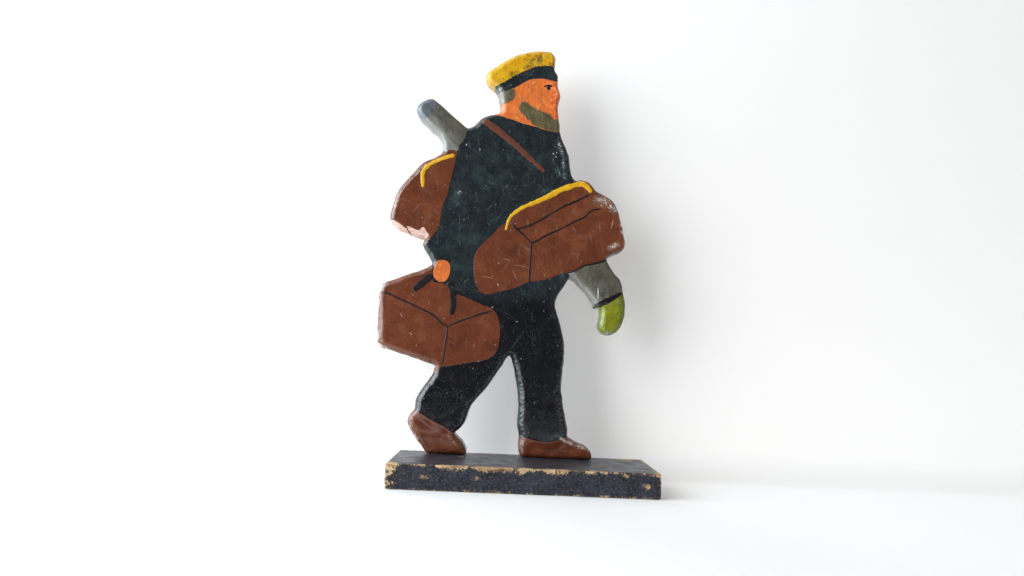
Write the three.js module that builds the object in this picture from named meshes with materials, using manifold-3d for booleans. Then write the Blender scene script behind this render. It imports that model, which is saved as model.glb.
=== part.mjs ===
// A painted cut-out of a walking sailor with luggage, sawn from one flat board.
// The board stands at the back of a small base block, glued and nailed through it from below.
// Millimetres, +Z up, painted front towards -Y, origin at the centre of the base's underside.
import * as THREE from 'three';
import { mergeVertices } from 'three/addons/utils/BufferGeometryUtils.js';
import Module from 'manifold-3d';

const wasm = await Module();
wasm.setup();

// Base block
const BASE_LENGTH = 86;
const BASE_DEPTH = 35.5;
const BASE_THICKNESS = 8;
const BASE_CORNER_RADIUS = 1.2;
const BASE_EDGE_ROUND = 0.6;

// Figure board
const FIGURE_HEIGHT = 144;
const BOARD_THICKNESS = 9.5;
const BOARD_EDGE_ROUND = 1.5;
const BOARD_BACK_MARGIN = 0.3;
const GLUE_LINE = 0.1;

// Wire nails
const NAIL_LENGTH = 25;
const NAIL_SHANK_DIAMETER = 1.8;
const NAIL_POINT_LENGTH = 2.4;
const NAIL_HEAD_DIAMETER = 3.8;
const NAIL_HEAD_THICKNESS = 0.8;
const NAIL_HEAD_SINK = 0.6;
const NAIL_CLEARANCE = 0.2;
const FRONT_NAIL_FROM_HEEL = 8;
const REAR_NAIL_FROM_HEEL = 6;

// Fineness of curved faces. Chords longer than the edge round keep its inner rim from crossing itself.
const CHORD_PER_ROUND = 1.6;
const CORNER_STEPS = 2;
const EDGE_STEPS = 2;
const ROUND_SIDES = 16;
const MERGE_DISTANCE = 1e-4;

// The saw pattern: x to the right and z up from the soles, counted in squares of the drawing.
// The figure's height over the drawing's height in squares gives the size of one square.
// Each run is one smooth curve, and runs meet at corners.
const PATTERN_HEIGHT = 144;
const FRONT_HEEL = -0.2;
const FRONT_TOE = 24;
const REAR_TOE = -19.1;
const REAR_HEEL = -32.6;
const PATTERN_START = [FRONT_TOE, 0];
const PATTERN_RUNS = {
  frontSole: [[FRONT_HEEL, 0]],
  frontHeel: [[-1, 2.4], [-1.3, 4.8], [-0.9, 7]],
  frontLegInside: [[-1.8, 11.3], [-1.5, 17], [-2, 22], [-3, 27.5], [-4.2, 32.2], [-5.6, 35.2]],
  rearLegInside: [[-7.1, 33.4], [-12, 25], [-17.2, 18.4], [-18.6, 16.4], [-20.4, 10.6], [-22.2, 8.5],
    [-24, 7.4]],
  rearInstep: [[-22, 5.4], [-20.2, 3.7], [-19.3, 1.6], [REAR_TOE, 0]],
  rearSole: [[REAR_HEEL, 0]],
  rearHeel: [[-37.4, 6.6], [-39.2, 9.8], [-39.6, 11.6], [-38.7, 13.3], [-37, 14.9]],
  rearLegOutside: [[-37.4, 17.3], [-36.6, 19.8], [-32.8, 25.5], [-31.3, 28.2], [-31.5, 30.4]],
  caseBottom: [[-37, 32.1], [-47.5, 35.3], [-50.6, 36.6], [-51.8, 39]],
  caseSide: [[-51.9, 45], [-52.1, 54], [-51.6, 56.6], [-50.2, 58.2]],
  caseTop: [[-47, 59.4], [-37, 63.3], [-34.6, 64.3], [-33.4, 65.6]],
  sleeve: [[-34.9, 68.3], [-36.9, 70.6], [-37.7, 71.9], [-37.2, 73], [-36.4, 74.6]],
  bagBottom: [[-38.6, 74.9], [-41.5, 76], [-47.2, 78.8], [-49, 80.4], [-49.4, 82.4]],
  bagSide: [[-47.6, 89.6], [-45.4, 93.5], [-41.4, 98.3], [-39, 101.2]],
  bagTop: [[-35.5, 102.9], [-33, 104.1], [-31.8, 105.2]],
  rollTop: [[-32, 108.2], [-33.6, 111.4], [-40.6, 118.3], [-42.1, 120.6], [-41.3, 122.3], [-39.4, 124],
    [-37.4, 124.5], [-35.6, 123.9], [-26.5, 116.3], [-23.8, 113.9]],
  shoulder: [[-21.5, 115.1], [-19.5, 117.4], [-17.8, 118.8], [-15, 119.6], [-12.2, 120.6]],
  neck: [[-12.5, 124], [-13.6, 129.4]],
  capUnderside: [[-15.1, 130.9], [-16.3, 131.8]],
  capCrown: [[-17.9, 133.5], [-16.1, 136.2], [-9, 141], [-4.2, 142.9], [3, 144], [5.4, 143.2],
    [6.3, 141.4], [6.1, 137]],
  capPeak: [[7.2, 135.7], [7.8, 134.2], [7.4, 132.9]],
  face: [[7.3, 131.4], [8.9, 127.5], [8.1, 126], [7.8, 122.6], [8.5, 118.8], [8.6, 115.2]],
  jacketFront: [[9.6, 111.8], [12.2, 106.7], [13, 102], [13.7, 98.6], [14.8, 97.1]],
  trunkPiping: [[17, 97.5], [19.2, 97.3], [20.7, 96.2], [22.2, 93.9]],
  trunkSide: [[27.6, 91], [29.6, 89], [30.8, 86], [33.4, 75.8], [33.4, 74.2], [32.6, 73.1]],
  trunkBottom: [[28.5, 71.3], [26.6, 70]],
  rollEnd: [[29, 65.7], [31.9, 62.6], [32.8, 60.2], [33.1, 58]],
  grip: [[34.2, 52.8], [33.8, 49], [32.7, 46.1], [31, 44.1], [29, 43.2], [27.2, 43.6], [25.9, 44.9],
    [25.5, 46.8], [25.9, 51], [25.7, 53]],
  bandEnd: [[24, 52.9]],
  rollInside: [[21.1, 57.2], [17, 61.5], [14.3, 63]],
  trouserFront: [[11, 57.6], [9.5, 54.6], [9.3, 52.4], [11.2, 46.5], [12.9, 40.5], [13.3, 35.5], [12.6, 26],
    [13.2, 20], [15.4, 9.4], [15.3, 7.2]],
  frontShoe: [[19, 5.4], [22, 4.2], [23.8, 2.8], [24.2, 1.3], PATTERN_START],
};

// Places that follow from the sizes above
const PATTERN_SCALE = FIGURE_HEIGHT / PATTERN_HEIGHT;
const OUTLINE_STEP = CHORD_PER_ROUND * BOARD_EDGE_ROUND;
const SOLE_Z = BASE_THICKNESS + GLUE_LINE;
const BOARD_BACK_Y = BASE_DEPTH / 2 - BOARD_BACK_MARGIN;
const NAIL_Y = BOARD_BACK_Y - BOARD_THICKNESS / 2;
const FRONT_NAIL_X = FRONT_HEEL * PATTERN_SCALE + FRONT_NAIL_FROM_HEEL;
const REAR_NAIL_X = REAR_HEEL * PATTERN_SCALE + REAR_NAIL_FROM_HEEL;

const PAINTED_BOARD = new THREE.MeshStandardMaterial({ color: 0x232a2e, roughness: 0.35, metalness: 0 });
const PAINTED_BASE = new THREE.MeshStandardMaterial({ color: 0x2a2a2d, roughness: 0.4, metalness: 0 });
const NAIL_STEEL = new THREE.MeshStandardMaterial({ color: 0x8d8b86, roughness: 0.45, metalness: 1 });

/** Turns a closed geometry into a solid that can be cut. */
function solidOf(geometry) {
  const bare = geometry.clone();
  bare.deleteAttribute('normal');
  bare.deleteAttribute('uv');
  const merged = mergeVertices(bare, MERGE_DISTANCE);
  const mesh = new wasm.Mesh({
    numProp: 3,
    vertProperties: new Float32Array(merged.attributes.position.array),
    triVerts: new Uint32Array(merged.index.array),
  });
  return new wasm.Manifold(mesh);
}

/** Turns a cut solid back into a geometry. */
function geometryOf(solid) {
  const mesh = solid.getMesh();
  const geometry = new THREE.BufferGeometry();
  geometry.setAttribute('position', new THREE.BufferAttribute(mesh.vertProperties, 3));
  geometry.setIndex(new THREE.BufferAttribute(mesh.triVerts, 1));
  geometry.computeVertexNormals();
  return geometry;
}

/** Turns a profile of radius and height pairs round the Z axis and puts it at a nail's place. */
function turned(profile, x) {
  const points = profile.map(([radius, z]) => new THREE.Vector2(radius, z));
  const geometry = new THREE.LatheGeometry(points, ROUND_SIDES);
  geometry.rotateX(Math.PI / 2);
  geometry.translate(x, NAIL_Y, 0);
  return geometry;
}

/** One wire nail, driven up from below: a flat head, a straight shank and a point. */
function nailGeometry(x) {
  const shank = NAIL_SHANK_DIAMETER / 2;
  const head = NAIL_HEAD_DIAMETER / 2;
  const headTop = NAIL_HEAD_SINK + NAIL_HEAD_THICKNESS;
  const tip = NAIL_HEAD_SINK + NAIL_LENGTH;
  return turned([
    [0, NAIL_HEAD_SINK],
    [head, NAIL_HEAD_SINK],
    [head, headTop],
    [shank, headTop],
    [shank, tip - NAIL_POINT_LENGTH],
    [0, tip],
  ], x);
}

/** The space that a nail needs: its own shape with clearance, open at the underside of the base. */
function nailHole(x) {
  const shank = NAIL_SHANK_DIAMETER / 2 + NAIL_CLEARANCE;
  const head = NAIL_HEAD_DIAMETER / 2 + NAIL_CLEARANCE;
  const headTop = NAIL_HEAD_SINK + NAIL_HEAD_THICKNESS + NAIL_CLEARANCE;
  const tip = NAIL_HEAD_SINK + NAIL_LENGTH + NAIL_CLEARANCE;
  return solidOf(turned([
    [0, -NAIL_CLEARANCE],
    [head, -NAIL_CLEARANCE],
    [head, headTop],
    [shank, headTop],
    [shank, tip],
    [0, tip],
  ], x));
}

/** Cuts both nail holes out of a geometry. */
function drilled(geometry) {
  return geometryOf(solidOf(geometry).subtract(nailHole(FRONT_NAIL_X)).subtract(nailHole(REAR_NAIL_X)));
}

/** The saw line of the figure, scaled to its height, as evenly spaced points along each run. */
function figureOutline() {
  const place = ([x, z]) => new THREE.Vector2(x, z).multiplyScalar(PATTERN_SCALE);
  const outline = [];
  let start = place(PATTERN_START);
  for (const run of Object.values(PATTERN_RUNS)) {
    const curve = new THREE.SplineCurve([start, ...run.map(place)]);
    const straight = run.length === 1;
    const steps = straight ? 1 : Math.max(1, Math.round(curve.getLength() / OUTLINE_STEP));
    outline.push(...curve.getSpacedPoints(steps).slice(0, -1));
    start = place(run.at(-1));
  }
  return new THREE.Shape(outline);
}

/** Extrudes a flat outline to a thickness, with both rims rounded inside the outline. */
function roundedSlab(shape, thickness, round) {
  return new THREE.ExtrudeGeometry(shape, {
    depth: thickness - 2 * round,
    bevelThickness: round,
    bevelSize: round,
    bevelOffset: -round,
    bevelSegments: EDGE_STEPS,
    curveSegments: CORNER_STEPS,
    steps: 1,
  }).translate(0, 0, round);
}

/** The sawn figure, stood upright on the base, with its two nail holes. */
function figureGeometry() {
  const slab = roundedSlab(figureOutline(), BOARD_THICKNESS, BOARD_EDGE_ROUND);
  slab.rotateX(Math.PI / 2);
  slab.translate(0, BOARD_BACK_Y, SOLE_Z);
  return drilled(slab);
}

/** The base block, with eased edges and the two nail holes. */
function baseGeometry() {
  const halfLength = BASE_LENGTH / 2 - BASE_CORNER_RADIUS;
  const halfDepth = BASE_DEPTH / 2 - BASE_CORNER_RADIUS;
  const quarter = Math.PI / 2;
  const shape = new THREE.Shape();
  shape.absarc(halfLength, halfDepth, BASE_CORNER_RADIUS, 0, quarter);
  shape.absarc(-halfLength, halfDepth, BASE_CORNER_RADIUS, quarter, 2 * quarter);
  shape.absarc(-halfLength, -halfDepth, BASE_CORNER_RADIUS, 2 * quarter, 3 * quarter);
  shape.absarc(halfLength, -halfDepth, BASE_CORNER_RADIUS, 3 * quarter, 4 * quarter);
  const slab = roundedSlab(shape, BASE_THICKNESS, BASE_EDGE_ROUND);
  return drilled(slab);
}

/** Adds one named piece to the assembly. */
function addPiece(group, name, geometry, material) {
  const mesh = new THREE.Mesh(geometry, material);
  mesh.name = name;
  group.add(mesh);
}

const sailor = new THREE.Group();
addPiece(sailor, 'figure_board', figureGeometry(), PAINTED_BOARD);
addPiece(sailor, 'base_block', baseGeometry(), PAINTED_BASE);
addPiece(sailor, 'front_foot_nail', nailGeometry(FRONT_NAIL_X), NAIL_STEEL);
addPiece(sailor, 'rear_foot_nail', nailGeometry(REAR_NAIL_X), NAIL_STEEL);

export default sailor;
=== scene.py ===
"""Looks of a hand-painted wooden cut-out: a walking sailor with luggage, on a black base block.

The board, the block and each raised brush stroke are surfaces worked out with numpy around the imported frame.
Lengths and places are millimetres, x to the right and z up, and turn into metres as a mesh is written.
"""
import itertools
import logging
import math
from dataclasses import dataclass, field
from enum import Enum
from functools import partial, reduce

import bpy
import numpy as np
from mathutils import Matrix, Vector
from mathutils.geometry import delaunay_2d_cdt


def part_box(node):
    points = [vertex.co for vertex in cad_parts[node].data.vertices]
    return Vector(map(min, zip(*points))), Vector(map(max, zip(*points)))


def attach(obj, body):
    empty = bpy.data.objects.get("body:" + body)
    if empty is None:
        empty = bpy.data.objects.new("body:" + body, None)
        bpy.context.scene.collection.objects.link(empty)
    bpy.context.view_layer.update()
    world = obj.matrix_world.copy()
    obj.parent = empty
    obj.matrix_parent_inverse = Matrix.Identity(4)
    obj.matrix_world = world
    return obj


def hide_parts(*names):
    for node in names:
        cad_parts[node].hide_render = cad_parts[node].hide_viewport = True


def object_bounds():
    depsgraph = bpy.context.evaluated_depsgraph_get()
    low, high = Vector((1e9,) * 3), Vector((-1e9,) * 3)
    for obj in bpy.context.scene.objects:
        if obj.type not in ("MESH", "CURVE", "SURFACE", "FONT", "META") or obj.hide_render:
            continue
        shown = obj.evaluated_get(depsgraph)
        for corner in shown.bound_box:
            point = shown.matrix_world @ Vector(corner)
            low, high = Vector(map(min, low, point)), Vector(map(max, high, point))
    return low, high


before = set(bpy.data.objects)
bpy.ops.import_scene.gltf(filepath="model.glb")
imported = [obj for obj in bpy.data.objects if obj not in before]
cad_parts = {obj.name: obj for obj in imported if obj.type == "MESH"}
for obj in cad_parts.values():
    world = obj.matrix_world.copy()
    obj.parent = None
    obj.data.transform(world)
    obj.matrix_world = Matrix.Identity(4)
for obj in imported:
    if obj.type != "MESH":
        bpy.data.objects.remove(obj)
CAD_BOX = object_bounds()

LOG = logging.getLogger("sailor")
MM = 0.001
BODY = "root"
NAILS = ("front_foot_nail", "rear_foot_nail")
NOISE_CELLS = 48
CURVE_STEPS = 12
DISTANCE_BLOCK = 300
BORDER_STEP = 1.0
RUB_STEP = 0.8
# Lengths taken for nothing: a step of a line, its rise, the gap of two points and the gap to the saw line
NO_STEP = 1e-12
NO_RISE = 1e-9
NO_GAP = 1e-6
ON_LINE = 1e-5

Points = np.ndarray
Colour = tuple[int, int, int]
Border = tuple[tuple[float, float], ...]
Socket = bpy.types.NodeSocket
Feed = Socket | float | tuple


class Slot(Enum):
    """Names of the record's material slots."""

    FIGURE = "figure_paint"
    BASE = "base_paint"


class Zone(Enum):
    """Areas of the board with a paint of their own, in the order in which they were painted."""

    TROUSERS = "trousers"
    ROLL = "roll"
    GRIP = "grip"
    LEATHER = "leather"
    SKIN = "skin"
    CROWN = "crown"
    HAIR = "hair"
    BARE = "bare"


def linear(colour: Colour) -> tuple[float, float, float, float]:
    """Turn a colour as seen on a screen, 0 to 255, into the linear colour that a shader takes.

    The screen's curve is a straight line in the darkest tones and a power of 2.4 above them.

    Args:
        colour: Red, green and blue from 0 to 255.

    Returns:
        Linear red, green and blue with full opacity.
    """
    share = np.array(colour) / 255
    low, high = share / 12.92, ((share + 0.055) / 1.055) ** 2.4
    return (*np.where(share <= 0.04045, low, high).tolist(), 1.0)


def eased(value: Points) -> Points:
    """Ease a share from 0 to 1 with the cubic 3t^2 - 2t^3, held at both ends."""
    held = np.clip(value, 0, 1)
    return held * held * (3 - 2 * held)


def even_steps(path: Points, spacing: float) -> Points:
    """Resample a polyline at even steps along its length.

    Args:
        path: Points of the line in order.
        spacing: Wished distance between neighbours.

    Returns:
        Points at equal distances, both ends included.
    """
    along = np.concatenate([[0.0], np.cumsum(np.linalg.norm(np.diff(path, axis=0), axis=1))])
    count = max(2, round(along[-1] / spacing))
    places = np.linspace(0, along[-1], count + 1)
    return np.stack([np.interp(places, along, column) for column in path.T], axis=1)


def smooth_path(border: Border, spacing: float, closed: bool = False) -> Points:
    """Carry a smooth curve through given points.

    Catmull-Rom: between two points runs the cubic whose end tangents are half the chord of the neighbours.

    Args:
        border: Given points.
        spacing: Step of the result.
        closed: True for a loop, whose last point then isn't repeated.

    Returns:
        Evenly spaced points on the curve.
    """
    knots = np.array(border, float)
    if closed:
        knots = np.concatenate([knots[-1:], knots, knots[:2]])
    else:
        knots = np.concatenate([2 * knots[:1] - knots[1:2], knots, 2 * knots[-1:] - knots[-2:-1]])
    before, start, end, after = (knots[i:len(knots) - 3 + i, None] for i in range(4))
    t = np.linspace(0, 1, CURVE_STEPS, endpoint=False)[None, :, None]
    square = (2 * before - 5 * start + 4 * end - after) * t * t
    cube = (3 * start - before - 3 * end + after) * t ** 3
    curve = (start + (end - before) * t / 2 + (square + cube) / 2).reshape(-1, 2)
    path = even_steps(np.concatenate([curve, knots[-2:-1]]), spacing)
    return path[:-1] if closed else path


def distance_to(points: Points, path: Points, closed: bool = False) -> Points:
    """Shortest distance from each point to a polyline, worked out in blocks of points.

    Args:
        points: Places to measure from, as rows of (x, z).
        path: Points of the line.
        closed: True if the last point joins the first.

    Returns:
        One distance for each place.
    """
    start = path if closed else path[:-1]
    step = (np.roll(path, -1, axis=0) if closed else path[1:]) - start
    length = np.maximum((step ** 2).sum(1), NO_STEP)
    part, blocks = step / length[:, None], []
    for block in np.array_split(points, max(1, len(points) // DISTANCE_BLOCK)):
        x, z = block[:, :1] - start[:, 0], block[:, 1:] - start[:, 1]
        share = np.clip(x * part[:, 0] + z * part[:, 1], 0, 1)
        x -= share * step[:, 0]
        z -= share * step[:, 1]
        blocks.append(np.sqrt((x * x + z * z).min(1)))
    return np.concatenate(blocks)


def inside(points: Points, loop: Points) -> Points:
    """Tell which points a loop encloses: a ray to the right crosses it an odd number of times.

    Args:
        points: Rows of (x, z).
        loop: Points of the loop in order.

    Returns:
        True for each point inside.
    """
    ahead = np.roll(loop, -1, axis=0)
    rise = np.where(ahead[:, 1] == loop[:, 1], NO_RISE, ahead[:, 1] - loop[:, 1])
    blocks = []
    for block in np.array_split(points, max(1, len(points) // DISTANCE_BLOCK)):
        x, z = block[:, :1], block[:, 1:]
        straddles = (loop[:, 1] > z) != (ahead[:, 1] > z)
        meets = loop[:, 0] + (z - loop[:, 1]) / rise * (ahead[:, 0] - loop[:, 0])
        blocks.append((straddles & (x < meets)).sum(1) % 2 == 1)
    return np.concatenate(blocks)


def signed_distance(points: Points, loop: Points) -> Points:
    """Distance to a closed border, below zero inside it."""
    return np.where(inside(points, loop), -1.0, 1.0) * distance_to(points, loop, closed=True)


def lattice_noise(points: Points, cell: float, seed: int) -> Points:
    """Smooth noise from -1 to 1: random values on a cubic lattice, blended by eased weights.

    Args:
        points: Rows of two or three coordinates.
        cell: Size of a lattice cell.
        seed: Choice of the random values.

    Returns:
        One value for each point.
    """
    width = points.shape[1]
    table = np.random.default_rng(seed).uniform(-1, 1, (NOISE_CELLS,) * width)
    scaled = points / cell
    low = np.floor(scaled).astype(int)
    ease = eased(scaled - low)
    total = np.zeros(len(points))
    for corner in itertools.product((0, 1), repeat=width):
        weight = np.prod(np.where(np.array(corner) == 1, ease, 1 - ease), axis=1)
        total += weight * table[tuple(((low + np.array(corner)) % NOISE_CELLS).T)]
    return total


def new_mesh(name: str, vertices: Points, faces: list) -> bpy.types.Object:
    """Make a smooth-shaded mesh object at the origin.

    Args:
        name: Name of the object.
        vertices: Rows of x, y and z in millimetres.
        faces: Corner numbers of each face.

    Returns:
        The new object.
    """
    mesh = bpy.data.meshes.new(name)
    mesh.from_pydata((vertices * MM).tolist(), [], faces)
    mesh.polygons.foreach_set("use_smooth", np.ones(len(mesh.polygons), bool))
    mesh.update()
    made = bpy.data.objects.new(name, mesh)
    bpy.context.scene.collection.objects.link(made)
    return made


def new_piece(name: str, vertices: Points, faces: list) -> bpy.types.Object:
    """Make a piece that rides on the part's one body, and report it.

    Args:
        name: Name of the piece.
        vertices: Rows of x, y and z in millimetres.
        faces: Corner numbers of each face.

    Returns:
        The new piece.
    """
    piece = new_mesh(name, vertices, faces)
    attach(piece, BODY)
    LOG.info("%s: %d vertices, %d faces", name, len(vertices), len(faces))
    return piece


def write_value(piece: bpy.types.Object, name: str, values: Points) -> None:
    """Store one number for each vertex of a piece under a name that its material reads."""
    attribute = piece.data.attributes.new(name, "FLOAT", "POINT")
    attribute.data.foreach_set("value", values.astype(np.float32))


@dataclass(frozen=True)
class Unevenness:
    """Layers of lattice noise.

    Attributes:
        layers: Cell size, seed and weight of each layer.
    """

    layers: tuple[tuple[float, int, float], ...]

    def at(self, points: Points) -> Points:
        """Sum of the layers at each point, each times its weight."""
        return sum(weight * lattice_noise(points, cell, seed) for cell, seed, weight in self.layers)


SAW_WAVES = Unevenness(((2.6, 31, 1.0), (1.2, 32, 0.7)))
KNIFE_WAVES = Unevenness(((5.5, 14, 0.17), (3.3, 15, 0.06)))
SANDING = Unevenness(((9.0, 11, 0.7), (3.1, 12, 0.3)))
SHOE_HOLLOWS = Unevenness(((3.2, 13, 1.0),))
BASE_KNOCKS = Unevenness(((2.6, 21, 1.0), (0.9, 22, 0.5)))


class Wiring:
    """Adds nodes to one tree and joins them, taking sockets, numbers or colours as inputs.

    Attributes:
        tree: The node tree.
        place: Coordinates in millimetres on which its patterns lie.
    """

    def __init__(self, tree: bpy.types.NodeTree) -> None:
        """Start on a tree that has no coordinates yet."""
        self.tree = tree
        self.place: Socket | None = None

    def feed(self, socket: Socket, value: Feed) -> None:
        """Join a socket to another one, or set its plain value.

        Args:
            socket: Input of a node.
            value: Output to join, number, vector, colour in 0 to 255, or linear colour with its opacity.
        """
        if isinstance(value, bpy.types.NodeSocket):
            self.tree.links.new(value, socket)
        elif socket.type == "RGBA" and len(value) == 3:
            socket.default_value = linear(value)
        else:
            socket.default_value = value

    def node(self, kind: str, inputs: dict, **settings: object) -> bpy.types.Node:
        """Add a node.

        Args:
            kind: Node type without its ShaderNode prefix.
            inputs: Value or socket for each named or numbered input.
            **settings: Properties of the node.

        Returns:
            The new node.
        """
        node = self.tree.nodes.new("ShaderNode" + kind)
        for key, value in settings.items():
            setattr(node, key, value)
        for key, value in inputs.items():
            self.feed(node.inputs[key], value)
        return node

    def math(self, operation: str, first: Feed, second: Feed = 0.0) -> Socket:
        """Work out one number from two."""
        return self.node("Math", {0: first, 1: second}, operation=operation).outputs[0]

    def times(self, first: Feed, second: Feed) -> Socket:
        """Product of two numbers."""
        return self.math("MULTIPLY", first, second)

    def minus(self, first: Feed, second: Feed) -> Socket:
        """Difference of two numbers."""
        return self.math("SUBTRACT", first, second)

    def plus(self, *terms: Feed) -> Socket:
        """Sum of numbers, added in order."""
        return reduce(partial(self.math, "ADD"), terms)

    def most(self, *terms: Feed) -> Socket:
        """Largest of some numbers."""
        return reduce(partial(self.math, "MAXIMUM"), terms)

    def ramp(self, value: Feed, low: Feed, high: Feed, to_low: float = 0.0, to_high: float = 1.0) -> Socket:
        """Map a value smoothly from one range to another, held at both ends."""
        inputs = {0: value, 1: low, 2: high, 3: to_low, 4: to_high}
        return self.node("MapRange", inputs, interpolation_type="SMOOTHSTEP").outputs[0]

    def mix(self, factor: Feed, first: Feed, second: Feed) -> Socket:
        """Blend two colours."""
        return self.node("Mix", {0: factor, 6: first, 7: second}, data_type="RGBA").outputs[2]

    def tint(self, colour: Feed, mask: Feed, strength: float, tone: Feed) -> Socket:
        """Lay a tone over a colour where a mask stands, at a given strength."""
        return self.mix(self.times(mask, strength), colour, tone)

    def shade(self, colour: Feed, value: Feed, low: Feed, high: Feed, strength: float, tone: Feed) -> Socket:
        """Lay a tone over a colour, up to a given strength, as a value passes from one limit to another."""
        return self.mix(self.ramp(value, low, high, 0.0, strength), colour, tone)

    def scaled(self, colour: Socket, value: Feed) -> Socket:
        """Brighten or darken a colour by a factor."""
        return self.node("VectorMath", {0: colour, "Scale": value}, operation="SCALE").outputs[0]

    def stored(self, name: str) -> Socket:
        """Read a value stored on the vertices."""
        return self.node("Attribute", {}, attribute_name=name).outputs["Fac"]

    def axes(self) -> bpy.types.NodeOutputs:
        """The coordinates as three numbers."""
        return self.node("SeparateXYZ", {0: self.place}).outputs

    def noise(self, scale: float, detail: float = 2.0, rough: float = 0.5,
              vector: Socket | None = None) -> Socket:
        """Add cloudy noise from 0 to 1.

        Args:
            scale: Cycles for each millimetre.
            detail: Octaves of finer noise on it.
            rough: Strength of those octaves.
            vector: Coordinates, if not those of the tree.

        Returns:
            The noise.
        """
        where = self.place if vector is None else vector
        inputs = {"Vector": where, "Scale": scale, "Detail": detail, "Roughness": rough}
        return self.node("TexNoise", inputs).outputs[0]

    def turned(self, degrees: float, stretch: tuple[float, float, float],
               vector: Socket | None = None) -> Socket:
        """Turn coordinates about the y axis, then multiply them along each axis.

        Args:
            degrees: Angle of the turn.
            stretch: Factor for each axis.
            vector: Coordinates, if not those of the tree.

        Returns:
            The new coordinates.
        """
        where = self.place if vector is None else vector
        inputs = {"Vector": where, "Angle": math.radians(degrees)}
        turn = self.node("VectorRotate", inputs, rotation_type="Y_AXIS").outputs[0]
        return self.node("VectorMath", {0: turn, 1: stretch}, operation="MULTIPLY").outputs[0]

    def group(self, tree: bpy.types.NodeTree, **inputs: Feed) -> bpy.types.NodeOutputs:
        """Place a node group with its own values.

        Args:
            tree: Tree of the group.
            **inputs: Value or socket for each named input but Vector, which gets the tree's coordinates.

        Returns:
            Outputs of the group.
        """
        node = self.tree.nodes.new("ShaderNodeGroup")
        node.node_tree = tree
        if "Vector" in node.inputs:
            inputs["Vector"] = self.place
        for key, value in inputs.items():
            self.feed(node.inputs[key], value)
        return node.outputs


class Paintwork(Wiring):
    """Wiring of one new material, with its principled shader.

    Attributes:
        material: The material.
        shader: Its principled shader.
    """

    def __init__(self, name: str) -> None:
        """Make a material whose patterns lie on Object coordinates.

        Args:
            name: Name of the material.
        """
        self.material = bpy.data.materials.new(name)
        self.material.use_nodes = True
        super().__init__(self.material.node_tree)
        self.shader = self.tree.nodes["Principled BSDF"]
        metres = self.node("TexCoord", {}).outputs["Object"]
        self.place = self.node("VectorMath", {0: metres, "Scale": 1 / MM}, operation="SCALE").outputs[0]

    def give(self, name: str, value: Feed) -> None:
        """Feed a named input of the shader."""
        self.feed(self.shader.inputs[name], value)

    def drifting(self, scale: float, detail: float, low: float, high: float) -> Socket:
        """A roughness that drifts between two values with slow noise."""
        return self.ramp(self.noise(scale, detail), 0.3, 0.7, low, high)

    def relief(self, height: Socket) -> None:
        """Bend the shader's normals by a height in millimetres."""
        self.give("Normal", self.node("Bump", {"Height": height, "Distance": MM}).outputs[0])


class Effect(Wiring):
    """A shader node group with named inputs and outputs, for an effect that several materials share.

    Attributes:
        given: Inputs of the group, as they are seen inside it.
        results: Outputs of the group, as they are seen inside it.
    """

    COLOURS = ("Under", "Paint", "Pale", "Deep", "Color")

    def __init__(self, name: str, inputs: tuple[str, ...], outputs: tuple[str, ...]) -> None:
        """Make the group and its sockets: colours, the coordinates called Vector, and numbers.

        Args:
            name: Name of the group.
            inputs: Names of its inputs.
            outputs: Names of its outputs.
        """
        super().__init__(bpy.data.node_groups.new(name, "ShaderNodeTree"))
        kinds = {"Vector": "NodeSocketVector", **dict.fromkeys(self.COLOURS, "NodeSocketColor")}
        for direction, sockets in (("INPUT", inputs), ("OUTPUT", outputs)):
            for key in sockets:
                kind = kinds.get(key, "NodeSocketFloat")
                self.tree.interface.new_socket(key, in_out=direction, socket_type=kind)
        self.given = self.tree.nodes.new("NodeGroupInput").outputs
        self.results = self.tree.nodes.new("NodeGroupOutput").inputs
        if "Vector" in inputs:
            self.place = self.given["Vector"]

    def give(self, name: str, value: Socket) -> None:
        """Join a result to a named output."""
        self.feed(self.results[name], value)


# Direction in degrees and shift of each set of hairlines
HAIRLINES = ((8.0, 0.0), (-38.0, 31.0), (64.0, 67.0))
# Wear at which paint starts to go, and at which it is gone
RUBBED_FROM = 0.46
RUBBED_OFF = 0.54


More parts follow.
